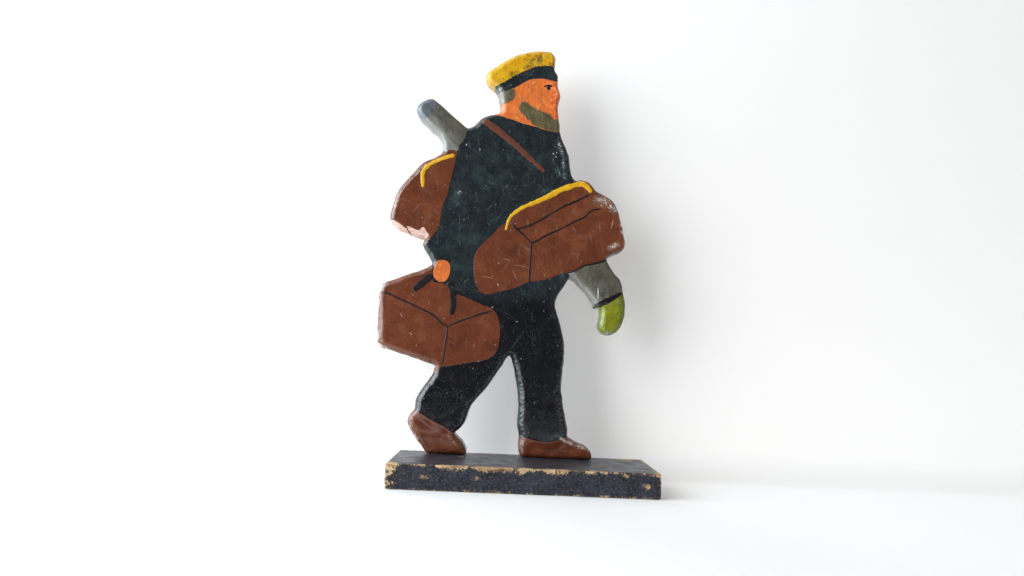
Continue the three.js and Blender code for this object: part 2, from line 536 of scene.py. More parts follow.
class Effects:
    """The shared effects, each built once.

    Attributes:
        layer: A coat of paint with a wandering border.
        tone: Brush-laid colour.
        scratches: Hairlines.
        specks: Small dots.
        rubbed: Paint lost by wear.
        wood: Bare wood.
    """

    def __init__(self) -> None:
        """Build every group."""
        self.layer = self.paint_layer()
        self.tone = self.brushed_tone()
        self.scratches = self.hairline_scratches()
        self.specks = self.scattered_specks()
        self.rubbed = self.rubbed_paint()
        self.wood = self.bare_wood()

    def paint_layer(self) -> bpy.types.NodeTree:
        """Lay one coat over another: opaque where the wandering distance to its border is below zero.

        Returns:
            The group.
        """
        inputs = ("Under", "Paint", "Distance", "Wander", "Feather")
        wire = Effect("paint_layer", inputs, ("Color", "Mask"))
        outer = wire.given["Feather"]
        reach = wire.plus(wire.given["Distance"], wire.given["Wander"])
        mask = wire.ramp(reach, wire.times(outer, -1.0), outer, 1.0, 0.0)
        wire.give("Color", wire.mix(mask, wire.given["Under"], wire.given["Paint"]))
        wire.give("Mask", mask)
        return wire.tree

    def brushed_tone(self) -> bpy.types.NodeTree:
        """Vary a colour as a brush lays it: lighter and darker clouds, and streaks along the brush.

        Returns:
            The group.
        """
        wire = Effect("brushed_tone", ("Color", "Vector", "Mottle", "Streak"), ("Color",))
        clouds = wire.noise(0.22, 4.0, 0.62)
        lines = wire.noise(1.7, 3.0, 0.6, wire.turned(0.0, (1.0, 1.0, 0.12)))
        swings = [wire.times(wire.ramp(pattern, 0.25, 0.75, -1.0, 1.0), wire.given[strength])
                  for pattern, strength in ((clouds, "Mottle"), (lines, "Streak"))]
        wire.give("Color", wire.scaled(wire.given["Color"], wire.plus(*swings, 1.0)))
        return wire.tree

    def hairline_scratches(self) -> bpy.types.NodeTree:
        """Draw straight hairlines in three directions: thin ridges of long noise, broken up by a shorter one.

        Returns:
            The group.
        """
        wire = Effect("hairline_scratches", ("Vector", "Share"), ("Mask",))
        limit = wire.minus(0.74, wire.times(wire.given["Share"], 0.3))
        marks = []
        for degrees, shift in HAIRLINES:
            move = {0: wire.place, 1: (shift, 0.0, shift)}
            moved = wire.node("VectorMath", move, operation="ADD").outputs[0]
            lines = wire.noise(1.0, 0.0, vector=wire.turned(degrees, (0.8, 0.05, 0.03), moved))
            ridge = wire.math("ABSOLUTE", wire.minus(lines, 0.5))
            patch = wire.noise(1.0, 2.0, vector=wire.turned(degrees, (0.9, 0.05, 0.22), moved))
            kept = wire.ramp(patch, limit, wire.plus(limit, 0.05))
            marks.append(wire.times(wire.ramp(ridge, 0.0, 0.024, 1.0, 0.0), kept))
        wire.give("Mask", wire.most(*marks))
        return wire.tree

    def scattered_specks(self) -> bpy.types.NodeTree:
        """Scatter small dots: the middles of a share of random cells.

        Returns:
            The group.
        """
        wire = Effect("scattered_specks", ("Vector", "Scale", "Share", "Size"), ("Mask",))
        flat = wire.turned(0.0, (1.0, 0.15, 1.0))
        cells = wire.node("TexVoronoi", {"Vector": flat, "Scale": wire.given["Scale"]})
        chance = wire.node("SeparateColor", {0: cells.outputs["Color"]}).outputs
        size = wire.times(wire.given["Size"], wire.plus(chance[1], 0.3))
        dot = wire.ramp(cells.outputs["Distance"], wire.times(size, 0.6), size, 1.0, 0.0)
        wire.give("Mask", wire.times(dot, wire.math("LESS_THAN", chance[0], wire.given["Share"])))
        return wire.tree

    def rubbed_paint(self) -> bpy.types.NodeTree:
        """Rub paint off where wear plus ragged noise passes a limit, with crumbs and a haze round it.

        Returns:
            The group.
        """
        wire = Effect("rubbed_paint", ("Wear", "Vector", "Ragged"), ("Mask", "Haze"))
        wear = wire.given["Wear"]
        both = wire.minus(wire.plus(wire.noise(0.45, 4.0, 0.6), wire.noise(1.9, 3.0, 0.6)), 1.0)
        loose = wire.times(wire.times(both, wire.given["Ragged"]), wire.ramp(wear, 0.0, 0.3))
        worn = wire.plus(wear, loose)
        wire.give("Mask", wire.ramp(worn, RUBBED_FROM, RUBBED_OFF))
        wire.give("Haze", wire.ramp(worn, 0.12, 0.5))
        return wire.tree

    def bare_wood(self) -> bpy.types.NodeTree:
        """Show bare wood: a pale and a deep tone in fine lines along the grain, which runs along x.

        Returns:
            The group.
        """
        wire = Effect("bare_wood", ("Vector", "Pale", "Deep"), ("Color",))
        grain = wire.noise(1.6, 4.0, 0.65, wire.turned(0.0, (0.12, 1.0, 1.0)))
        lines = wire.ramp(grain, 0.35, 0.68)
        wire.give("Color", wire.mix(lines, wire.given["Pale"], wire.given["Deep"]))
        return wire.tree


@dataclass(frozen=True)
class Coat:
    """One colour of enamel on the board.

    Attributes:
        zone: Area that it covers.
        colour: Its colour in 0 to 255.
        mottle: Strength of its light and dark clouds.
        streak: Strength of its brush streaks.
        build_up: Thickness of the paint.
        feather: Softness of its border.
    """

    zone: Zone
    colour: Colour
    mottle: float
    streak: float
    build_up: float
    feather: float = 0.07


COATS = (
    Coat(Zone.TROUSERS, (20, 20, 24), 0.25, 0.2, 0.0, 3.4),
    Coat(Zone.ROLL, (94, 91, 80), 0.34, 0.22, 0.02),
    Coat(Zone.GRIP, (122, 126, 26), 0.28, 0.12, 0.04),
    Coat(Zone.LEATHER, (106, 55, 33), 0.14, 0.08, 0.03),
    Coat(Zone.SKIN, (226, 116, 52), 0.12, 0.12, 0.04),
    Coat(Zone.CROWN, (222, 172, 24), 0.14, 0.08, 0.07),
    Coat(Zone.HAIR, (94, 86, 58), 0.22, 0.2, 0.06, 0.3),
)
JACKET_BLUE: Colour = (33, 39, 42)

ZONE_BORDERS: dict[Zone, tuple[Border, ...]] = {
    Zone.TROUSERS: (
        ((-45, 63), (-20, 62.5), (-10, 62), (0, 62.5), (8, 64), (14, 66), (24, 67), (24, 0), (-45, 0)),
    ),
    Zone.ROLL: (
        ((-22.6, 124), (-23.8, 121.4), (-24.3, 119.5), (-25, 117.5), (-26.5, 116), (-27, 113.8),
         (-28.5, 113.6), (-33, 111), (-50, 116), (-50, 138), (-24, 138)),
        ((13.8, 74), (14.3, 71.3), (14.4, 69), (21, 57), (24.4, 58), (25, 61.5), (27, 62.6), (34, 66.6),
         (38, 72), (34, 82), (20, 82)),
    ),
    Zone.GRIP: (
        ((21.5, 60.3), (24.5, 61.4), (27, 62.4), (30, 64.0), (34, 66.2), (39, 68), (39, 48), (21.5, 48)),
    ),
    Zone.LEATHER: (
        # Bag on the back
        ((-27, 113.5), (-27.5, 111), (-28, 108), (-28.7, 104), (-29.3, 101), (-29.8, 98), (-31, 95),
         (-31.6, 91.5), (-32, 88), (-32.6, 86), (-34, 83.6), (-36.4, 81), (-40, 76), (-56, 78), (-56, 108),
         (-40, 113), (-33, 114), (-31.2, 113.6), (-30, 114.2), (-28.5, 114.3)),
        # Trunk under the arm
        ((-8.8, 89.3), (-11, 87.5), (-13, 85), (-15, 83), (-17, 80.8), (-18.8, 78), (-19.4, 75),
         (-19.2, 71), (-18.7, 68), (-17.5, 65.5), (-16, 64), (-13.5, 63.8), (-10, 64.8), (-6, 65.8),
         (-3, 67), (0, 68.6), (3, 69.1), (7, 70), (11, 71.8), (14, 72.6), (16.5, 73.5), (19, 75.2),
         (22, 76), (25.5, 77), (28, 78.4), (40, 76), (40, 100), (27, 104), (20.6, 105.6), (17.6, 105),
         (13, 103.6), (8.5, 101.4), (3, 98.2), (-3, 95.2), (-6.6, 92.6)),
        # Suitcase in the hand
        ((-33.2, 67.3), (-30, 66.8), (-28, 66.2), (-27.2, 65), (-26, 63.4), (-24, 63), (-20, 61.6),
         (-16, 60), (-13, 59), (-11.6, 58.1), (-10.4, 56.5), (-9.5, 53.5), (-9.2, 50), (-9.4, 47),
         (-10, 44.2), (-11.6, 42.2), (-14, 40.9), (-18, 40), (-22, 39.2), (-26, 38.4), (-29, 37.9),
         (-34, 35.5), (-60, 38), (-60, 74), (-38, 74.5), (-34, 73.4), (-33.6, 70.5)),
        # Rear shoe
        ((-39.5, 24.2), (-36.5, 22.5), (-34, 21), (-31, 19.3), (-28, 18), (-26, 17), (-24.5, 15.8),
         (-21, 14.2), (-15, 14), (-15, 4), (-46, 4), (-46, 24)),
        # Front shoe
        ((-4, 15.2), (-0.8, 15.0), (2, 14.6), (5, 13.9), (8, 13.6), (11, 14), (13, 15), (15.5, 15.7),
         (19, 17), (32, 15), (32, 4), (-4, 4)),
    ),
    Zone.SKIN: (
        # Face and neck
        ((-17, 132.6), (-12.2, 135.2), (-8, 137.6), (-5, 139.4), (-3, 140.7), (0, 141.4), (3, 141.4),
         (6, 140.8), (9, 140.2), (15, 139), (15, 122), (8.3, 122.4), (4, 122.8), (1, 123.7), (-1, 124.2),
         (-4, 124.8), (-7, 125.8), (-10, 126.6), (-12.2, 127.3), (-17, 128.6)),
        # Hand
        ((-33.4, 70.4), (-33.1, 72.4), (-32.2, 74.6), (-31, 75), (-29, 74.8), (-27.8, 73.6), (-27.5, 71.6),
         (-27.9, 69.4), (-28.9, 67.8), (-30.6, 67.2), (-32.2, 67.9), (-33, 68.9)),
    ),
    Zone.CROWN: (
        ((-22, 135.6), (-15.8, 137.7), (-13.5, 138.6), (-10, 140.7), (-7.2, 142.6), (-3, 144.6), (0, 145.9),
         (4.6, 146.3), (6.4, 145.7), (12, 145), (12, 160), (-26, 160), (-26, 138)),
    ),
    Zone.HAIR: (
        # Hair behind the ear
        ((-16, 131.6), (-13.5, 135.6), (-11, 136.2), (-8, 137.5), (-7.3, 135.2), (-8, 133.5), (-9.8, 132.2),
         (-12, 131.6)),
        # Beard
        ((-5, 132.4), (-4, 132.8), (-2.5, 132.3), (-1, 131), (1, 130), (3, 129.3), (5, 128.6), (6.3, 127.2),
         (8, 126.8), (12, 126.6), (12, 122.4), (5, 122.7), (2, 123.6), (-0.5, 124.5), (-2.5, 126.5),
         (-4.5, 128.3), (-5.8, 129.8), (-5.8, 131.2)),
    ),
    Zone.BARE: (
        # Broken corner under the bag
        ((-43.6, 86.5), (-42.4, 86.2), (-40.6, 85.4), (-39, 85.1), (-38, 86.4), (-37.2, 86.0),
         (-36.6, 84.8), (-35.6, 83.8), (-36.4, 82.6), (-38.2, 82.4), (-40.4, 82.2), (-41.6, 83.6),
         (-42.8, 85.2)),
        # Its worn lower rim
        ((-49.6, 88.4), (-47.4, 88.0), (-45.2, 86.6), (-43.6, 85.4), (-42.4, 83.6), (-41.4, 82.2),
         (-43, 82.2), (-46, 84.6), (-48.4, 86.2)),
    ),
}


@dataclass(frozen=True)
class Rub:
    """A place where handling has rubbed the paint; along two rims of the suitcase the same pale wear also
    serves as a painted highlight.

    Attributes:
        path: Line along which it is worn most.
        reach: How far from the line the wear fades out.
        depth: Wear on the line, where about 0.5 rubs through to the wood.
    """

    path: Border
    reach: float
    depth: float

    def fade(self, points: Points) -> Points:
        """Wear at each place: most on the line, and less in step with the distance from it."""
        return self.depth * (1 - distance_to(points, smooth_path(self.path, RUB_STEP)) / self.reach)


BOARD_RUBS_AND_RIM_HIGHLIGHTS = (
    # The first two rubs, along the suitcase's left and lower rims, are partly real wear and partly a painted
    # highlight on those rims
    Rub(((-52, 46), (-52.3, 55), (-52, 63), (-50, 66)), 1.5, 0.7),
    Rub(((-51.6, 45), (-45, 41.8), (-38, 39.6), (-31.5, 37.8)), 1.2, 0.66),
    Rub(((23, 98.6), (26.4, 97.8), (29.6, 95.4)), 3.4, 0.55),
    Rub(((27.5, 81.6), (29, 82.4), (30.6, 83)), 2.0, 0.56),
    Rub(((31, 94), (32.4, 88), (33.4, 83)), 1.5, 0.55),
    Rub(((27, 51.6), (30.4, 51.8)), 1.4, 0.56),
    Rub(((-39, 19), (-38.4, 15.5), (-35, 11)), 1.4, 0.5),
    Rub(((13.6, 14.5), (18, 13), (23, 11.6)), 1.6, 0.46),
    Rub(((8.6, 120.4), (9.4, 117.0), (10.4, 112.4), (11.0, 106.4)), 2.2, 0.36),
    Rub(((8.4, 110.0), (9.4, 107.2)), 1.8, 0.34),
    Rub(((2.6, 102.6), (4.4, 101.0)), 1.8, 0.4),
    Rub(((-27.6, 96.6), (-25.6, 99.0)), 2.6, 0.36),
    Rub(((-18.4, 101.4), (-15.2, 101.0)), 2.0, 0.26),
    Rub(((6.4, 144.4), (9.6, 143.4)), 2.0, 0.36),
    Rub(((-14.6, 136.4), (-12.4, 137.4)), 1.6, 0.42),
    Rub(((11.4, 16.4), (14.4, 14.4)), 1.4, 0.5),
    Rub(((-25.4, 14.4), (-22, 11)), 1.0, 0.42),
    Rub(((-48.6, 90), (-47, 98), (-43.6, 104)), 0.9, 0.42),
)

# Place, reach and extra of the corners that were left fuller than drawn
FULL_CORNERS = (
    ((-17.5, 140.0), 3.4, 0.6),
    ((-46.5, 85.6), 4.6, 0.6),
    ((-40.6, 125.4), 5.0, 0.45),
    ((-51.0, 44.0), 4.0, 0.5),
    ((-38.8, 17.4), 4.4, 0.4),
    ((25.4, 52.6), 3.0, 0.4),
)


@dataclass
class SawnBoard:
    """The flat board, sawn to one outline, its edges rounded by hand and painted on both faces.

    Attributes:
        spacing: Distance between mesh points.
        edge_reach: How far in from the saw line the rounding of a face starts.
        edge_drop: How far the rounding falls away from the face.
        edge_angles: Angles of the rounding at which rows of mesh points follow the outline.
        row_share: Share of its depth that a point of such a row keeps from every edge, or it is left out.
        row_gap: Distance between the innermost row and the lattice of the face.
        leg_round: How much wider the rounding is on the legs.
        leg_top: Height up to which that holds.
        leg_fade: Height over which it fades in.
        left_round: How much wider the rounding is on edges that face left.
        right_round: How much narrower it is on those that face right.
        wall_rows: Rows of faces across the sawn wall.
        wall_wear: Share of a rim's wear that is left in the middle of the wall.
        ripple: Height of the uneven sanding.
        corner_passes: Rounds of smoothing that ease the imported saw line.
        swell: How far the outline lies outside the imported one.
        saw_wobble: Height of the waves along the saw line.
        sole: Height over which the soles stay as packed.
        coat_step: Width of the step at a coat's border.
        coat_fade: Distance from the saw line over which the coats build up.
        allowance: How far the faces stay back to leave room for the coats.
        bare_depth: Depth of the broken corner.
        bare_step: Width of the step at its border.
        shoe_top: Height of the shoes.
        shoe_dip: Mean depth of their hollows.
        shoe_border: Distance from the border over which the hollows deepen.
        shoe_fade: The same from the top and from the saw line.
        outline: Saw line as rows of (x, z).
        middle: Depth of the board's middle.
        half_thickness: Half its packed thickness.
    """

    spacing: float = 0.46
    edge_reach: float = 2.0
    edge_drop: float = 1.9
    edge_angles: tuple[float, ...] = (18, 36, 54, 70)
    row_share: float = 0.93
    row_gap: float = 0.3
    leg_round: float = 1.25
    leg_top: float = 62.0
    leg_fade: float = 12.0
    left_round: float = 1.3
    right_round: float = 0.5
    wall_rows: int = 7
    wall_wear: float = 0.25
    ripple: float = 0.13
    corner_passes: int = 5
    swell: float = 0.24
    saw_wobble: float = 0.11
    sole: float = 0.6
    coat_step: float = 0.7
    coat_fade: float = 0.8
    allowance: float = 0.03
    bare_depth: float = 0.12
    bare_step: float = 0.9
    shoe_top: float = 26.0
    shoe_dip: float = 0.34
    shoe_border: float = 2.5
    shoe_fade: float = 2.0
    outline: Points = field(init=False)
    middle: float = field(init=False)
    half_thickness: float = field(init=False)

    def __post_init__(self) -> None:
        """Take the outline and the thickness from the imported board."""
        low, high = (np.array(corner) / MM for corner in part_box("figure_board"))
        self.middle = (low[1] + high[1]) / 2
        self.half_thickness = (high[1] - low[1]) / 2
        loop = self.saw_line()
        ring = even_steps(np.concatenate([loop, loop[:1]]), self.spacing)[:-1]
        for _ in range(self.corner_passes):
            ring = (np.roll(ring, 1, axis=0) + 2 * ring + np.roll(ring, -1, axis=0)) / 4
        grown = ring + self.outward(ring) * self.hand_cut(ring)[:, None]
        grown[:, 1] = np.where(ring[:, 1] < low[2] + self.sole, ring[:, 1], grown[:, 1])
        self.outline = np.clip(grown, low[[0, 2]], high[[0, 2]])

    def outward(self, ring: Points) -> Points:
        """Work out which way the outside of a ring lies: across the chord of each point's neighbours.

        Args:
            ring: Points of a closed outline in order.

        Returns:
            Unit normals that point away from the wood.
        """
        along = np.roll(ring, -1, axis=0) - np.roll(ring, 1, axis=0)
        across = np.stack([along[:, 1], -along[:, 0]], axis=1)
        normal = across / np.linalg.norm(along, axis=1, keepdims=True)
        probe = ring[:1] + self.spacing / 2 * normal[:1]
        return -normal if inside(probe, ring)[0] else normal

    def hand_cut(self, ring: Points) -> Points:
        """Work out how far hand and saw strayed outwards: a swell, small waves, and bells at full corners.

        Args:
            ring: Points of the smoothed saw line.

        Returns:
            One distance for each point.
        """
        full = [extra * np.exp(-((ring - np.array(place)) ** 2).sum(1) / reach ** 2)
                for place, reach, extra in FULL_CORNERS]
        return self.swell + self.saw_wobble * SAW_WAVES.at(ring) + sum(full)

    def saw_line(self) -> Points:
        """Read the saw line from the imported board.

        The wall joins a front and a back level of y. A triangle with two corners on the front level and the
        third behind it gives one directed step of the ring, and pointer doubling counts each point's steps to
        the first.

        Returns:
            Ring points as ordered rows of (x, z).
        """
        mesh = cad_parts["figure_board"].data
        mesh.calc_loop_triangles()
        place = np.empty(3 * len(mesh.vertices))
        mesh.vertices.foreach_get("co", place)
        corners = np.empty(3 * len(mesh.loop_triangles), np.int32)
        mesh.loop_triangles.foreach_get("vertices", corners)
        points, number = np.unique(np.round(place.reshape(-1, 3) / MM, 3), axis=0, return_inverse=True)
        triangles = number.reshape(-1)[corners].reshape(-1, 3)
        levels, counts = np.unique(np.round(points[:, 1], 2), return_counts=True)
        wall = levels[(counts > counts.max() / 2) & (levels < self.middle)].max()
        height = np.round(points[:, 1], 2) - wall
        edges = np.concatenate([np.roll(triangles, -turn, axis=1) for turn in range(3)])
        on_ring = (height[edges[:, 0]] == 0) & (height[edges[:, 1]] == 0) & (height[edges[:, 2]] > 0)
        start, end = edges[on_ring, 0], edges[on_ring, 1]
        names = np.unique(start)
        jump = np.empty(len(names), int)
        jump[np.searchsorted(names, start)] = np.searchsorted(names, end)
        steps = np.ones(len(names), int)
        jump[0], steps[0] = 0, 0
        for _ in range(math.ceil(math.log2(len(names)))):
            steps += steps[jump]
            jump = jump[jump]
        return points[names[np.argsort(-steps)]][:, [0, 2]]

    def half(self, points: Points, edge: Points | None = None) -> Points:
        """Half the board's thickness at places on its face.

        A quarter ellipse carries the face down to the wall: with s the share of the edge's reach still to
        go, the face lies lower by the drop times 1 - sqrt(1 - s^2). The knife took more from edges that face
        left: the way they face is the slope of the distance along x. Slow noise adds the uneven sanding.

        Args:
            points: Rows of (x, z).
            edge: Distance of each place to the saw line, if it is known.

        Returns:
            Distance of the face from the middle of the board.
        """
        ring = self.outline[::2]
        gap = distance_to(points, ring, closed=True) if edge is None else edge
        aside = np.array([self.spacing, 0.0])
        right, left = (distance_to(points + step, ring, closed=True) for step in (aside, -aside))
        facing = (right - left) / (2 * self.spacing)
        wider = 1 + (self.leg_round - 1) * eased((self.leg_top - points[:, 1]) / self.leg_fade)
        wider = wider * (1 + KNIFE_WAVES.at(points))
        wider = wider * np.interp(facing, (-1, 0, 1), (self.right_round, 1, self.left_round))
        share = np.clip(1 - gap / (self.edge_reach * wider), 0, 1)
        fall = self.edge_drop * wider * (1 - np.sqrt(1 - share ** 2))
        return self.half_thickness - fall - self.ripple * (1 + SANDING.at(points)) * (1 - share) / 2

    def mesh_plan(self) -> tuple[Points, Points]:
        """Lay out the face: the outline, rows that follow it over the rounding, and a lattice inside.

        Returns:
            Rows of (x, z), and triangles that turn anticlockwise seen from the front.
        """
        ring = self.outline
        inward = -self.outward(ring)
        depths = self.edge_reach * (1 - np.cos(np.radians(self.edge_angles)))
        rows = np.concatenate([ring + depth * inward for depth in depths])
        wished = self.row_share * np.repeat(depths, len(ring))
        kept = inside(rows, ring) & (distance_to(rows, ring, closed=True) > wished)
        low, high = ring.min(0), ring.max(0)
        step = np.array([self.spacing, self.spacing * math.sqrt(3) / 2])
        count = np.ceil((high - low) / step).astype(int)
        column, row = np.meshgrid(np.arange(count[0]), np.arange(count[1]))
        lattice = np.stack([low[0] + (column + row % 2 / 2) * step[0], low[1] + row * step[1]], axis=-1)
        lattice = lattice.reshape(-1, 2)
        lattice = lattice[inside(lattice, ring)]
        lattice = lattice[distance_to(lattice, ring[::2], closed=True) > depths[-1] + self.row_gap]
        points = np.concatenate([ring, rows[kept], lattice])
        numbers = np.arange(len(ring))
        loop = np.stack([numbers, np.roll(numbers, -1)], axis=1)
        made = delaunay_2d_cdt([Vector(p) for p in points.tolist()], loop.tolist(), [], 1, NO_GAP)
        points, faces = np.array(made[0]), np.array(made[2])
        corner = points[faces]
        turn = np.cross(corner[:, 1] - corner[:, 0], corner[:, 2] - corner[:, 0])
        return points, np.where((turn > 0)[:, None], faces, faces[:, ::-1])

    def painted_half(self, points: Points, edge: Points, distances: dict[Zone, Points]) -> Points:
        """Half the board's thickness with its coats, its broken corner and the hollows of the shoes.

        Each coat and each hollow comes in with an eased step across its border.

        Args:
            points: Rows of (x, z).
            edge: Distance of each place to the saw line.
            distances: Signed distance to the border of each zone.

        Returns:
            Distance of the painted face from the middle of the board.
        """
        coats = sum(coat.build_up * eased(0.5 - distances[coat.zone] / self.coat_step) for coat in COATS)
        bare = self.bare_depth * eased(0.5 - distances[Zone.BARE] / self.bare_step)
        shoe = eased(-distances[Zone.LEATHER] / self.shoe_border)
        shoe = shoe * eased((self.shoe_top - points[:, 1]) / self.shoe_fade) * eased(edge / self.shoe_fade)
        hollows = self.shoe_dip * shoe * (1 + SHOE_HOLLOWS.at(points))
        painted = self.half(points, edge) + coats * eased(edge / self.coat_fade) - self.allowance
        return painted - bare - hollows

    def build(self) -> bpy.types.Object:
        """Build the closed board: front face, back face and the wall between them.

        Returns:
            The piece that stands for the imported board.
        """
        points, faces = self.mesh_plan()
        edge = distance_to(points, self.outline, closed=True)
        edge[edge < ON_LINE] = 0
        distances = {zone: self.zone_distance(points, zone) for zone in Zone}
        half = self.painted_half(points, edge, distances)
        rim = self.rim(faces, len(points))
        rim_points = np.unique(rim)
        share = np.linspace(1, -1, self.wall_rows + 1)[1:-1, None]
        flat = np.concatenate([points, points, np.tile(points[rim_points], (len(share), 1))])
        depth = self.middle - np.concatenate([half, -half, (share * half[rim_points]).reshape(-1)])
        vertices = np.stack([flat[:, 0], depth, flat[:, 1]], axis=1)
        triangles = np.concatenate([faces, faces[:, ::-1] + len(points)]).tolist()
        wall = self.wall_faces(rim, rim_points, len(points))
        piece = new_piece("painted_board", vertices, triangles + wall)
        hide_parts("figure_board")
        wear = np.maximum(np.maximum.reduce([rub.fade(points) for rub in BOARD_RUBS_AND_RIM_HIGHLIGHTS]), 0)
        fading = self.wall_wear + (1 - self.wall_wear) * share ** 2
        values = {zone.value: (distance, np.ones_like(share)) for zone, distance in distances.items()}
        values |= {"edge": (edge, np.ones_like(share)), "wear": (wear, fading)}
        for name, (on_face, across) in values.items():
            on_wall = (across * on_face[rim_points]).reshape(-1)
            write_value(piece, name, np.concatenate([on_face, on_face, on_wall]))
        return piece

    def rim(self, faces: Points, count: int) -> Points:
        """Find the rim of a face: the sides that belong to one triangle alone.

        Args:
            faces: Triangles of the face.
            count: Number of its points.

        Returns:
            Directed steps along the rim.
        """
        sides = np.concatenate([faces[:, [0, 1]], faces[:, [1, 2]], faces[:, [2, 0]]])
        keys = sides.min(1) * count + sides.max(1)
        _, first, uses = np.unique(keys, return_index=True, return_counts=True)
        return sides[first[uses == 1]]

    def wall_faces(self, rim: Points, rim_points: Points, count: int) -> list:
        """Join the rims of both faces through the rows of the wall.

        Args:
            rim: Directed steps along the rim of the front face.
            rim_points: Sorted numbers of the rim's points.
            count: Points of one face.

        Returns:
            Quads that point outwards.
        """
        place = np.searchsorted(rim_points, rim)
        first = 2 * count + np.arange(self.wall_rows - 1) * len(rim_points)
        rows = np.concatenate([rim[None], first[:, None, None] + place, rim[None] + count])
        upper, lower = rows[:-1].reshape(-1, 2), rows[1:].reshape(-1, 2)
        return np.stack([upper[:, 0], lower[:, 0], lower[:, 1], upper[:, 1]], axis=1).tolist()

    def zone_distance(self, points: Points, zone: Zone) -> Points:
        """Signed distance to the nearest border of a zone's areas, below zero inside one of them."""
        loops = (smooth_path(border, BORDER_STEP, closed=True) for border in ZONE_BORDERS[zone])
        return np.minimum.reduce([signed_distance(points, loop) for loop in loops])


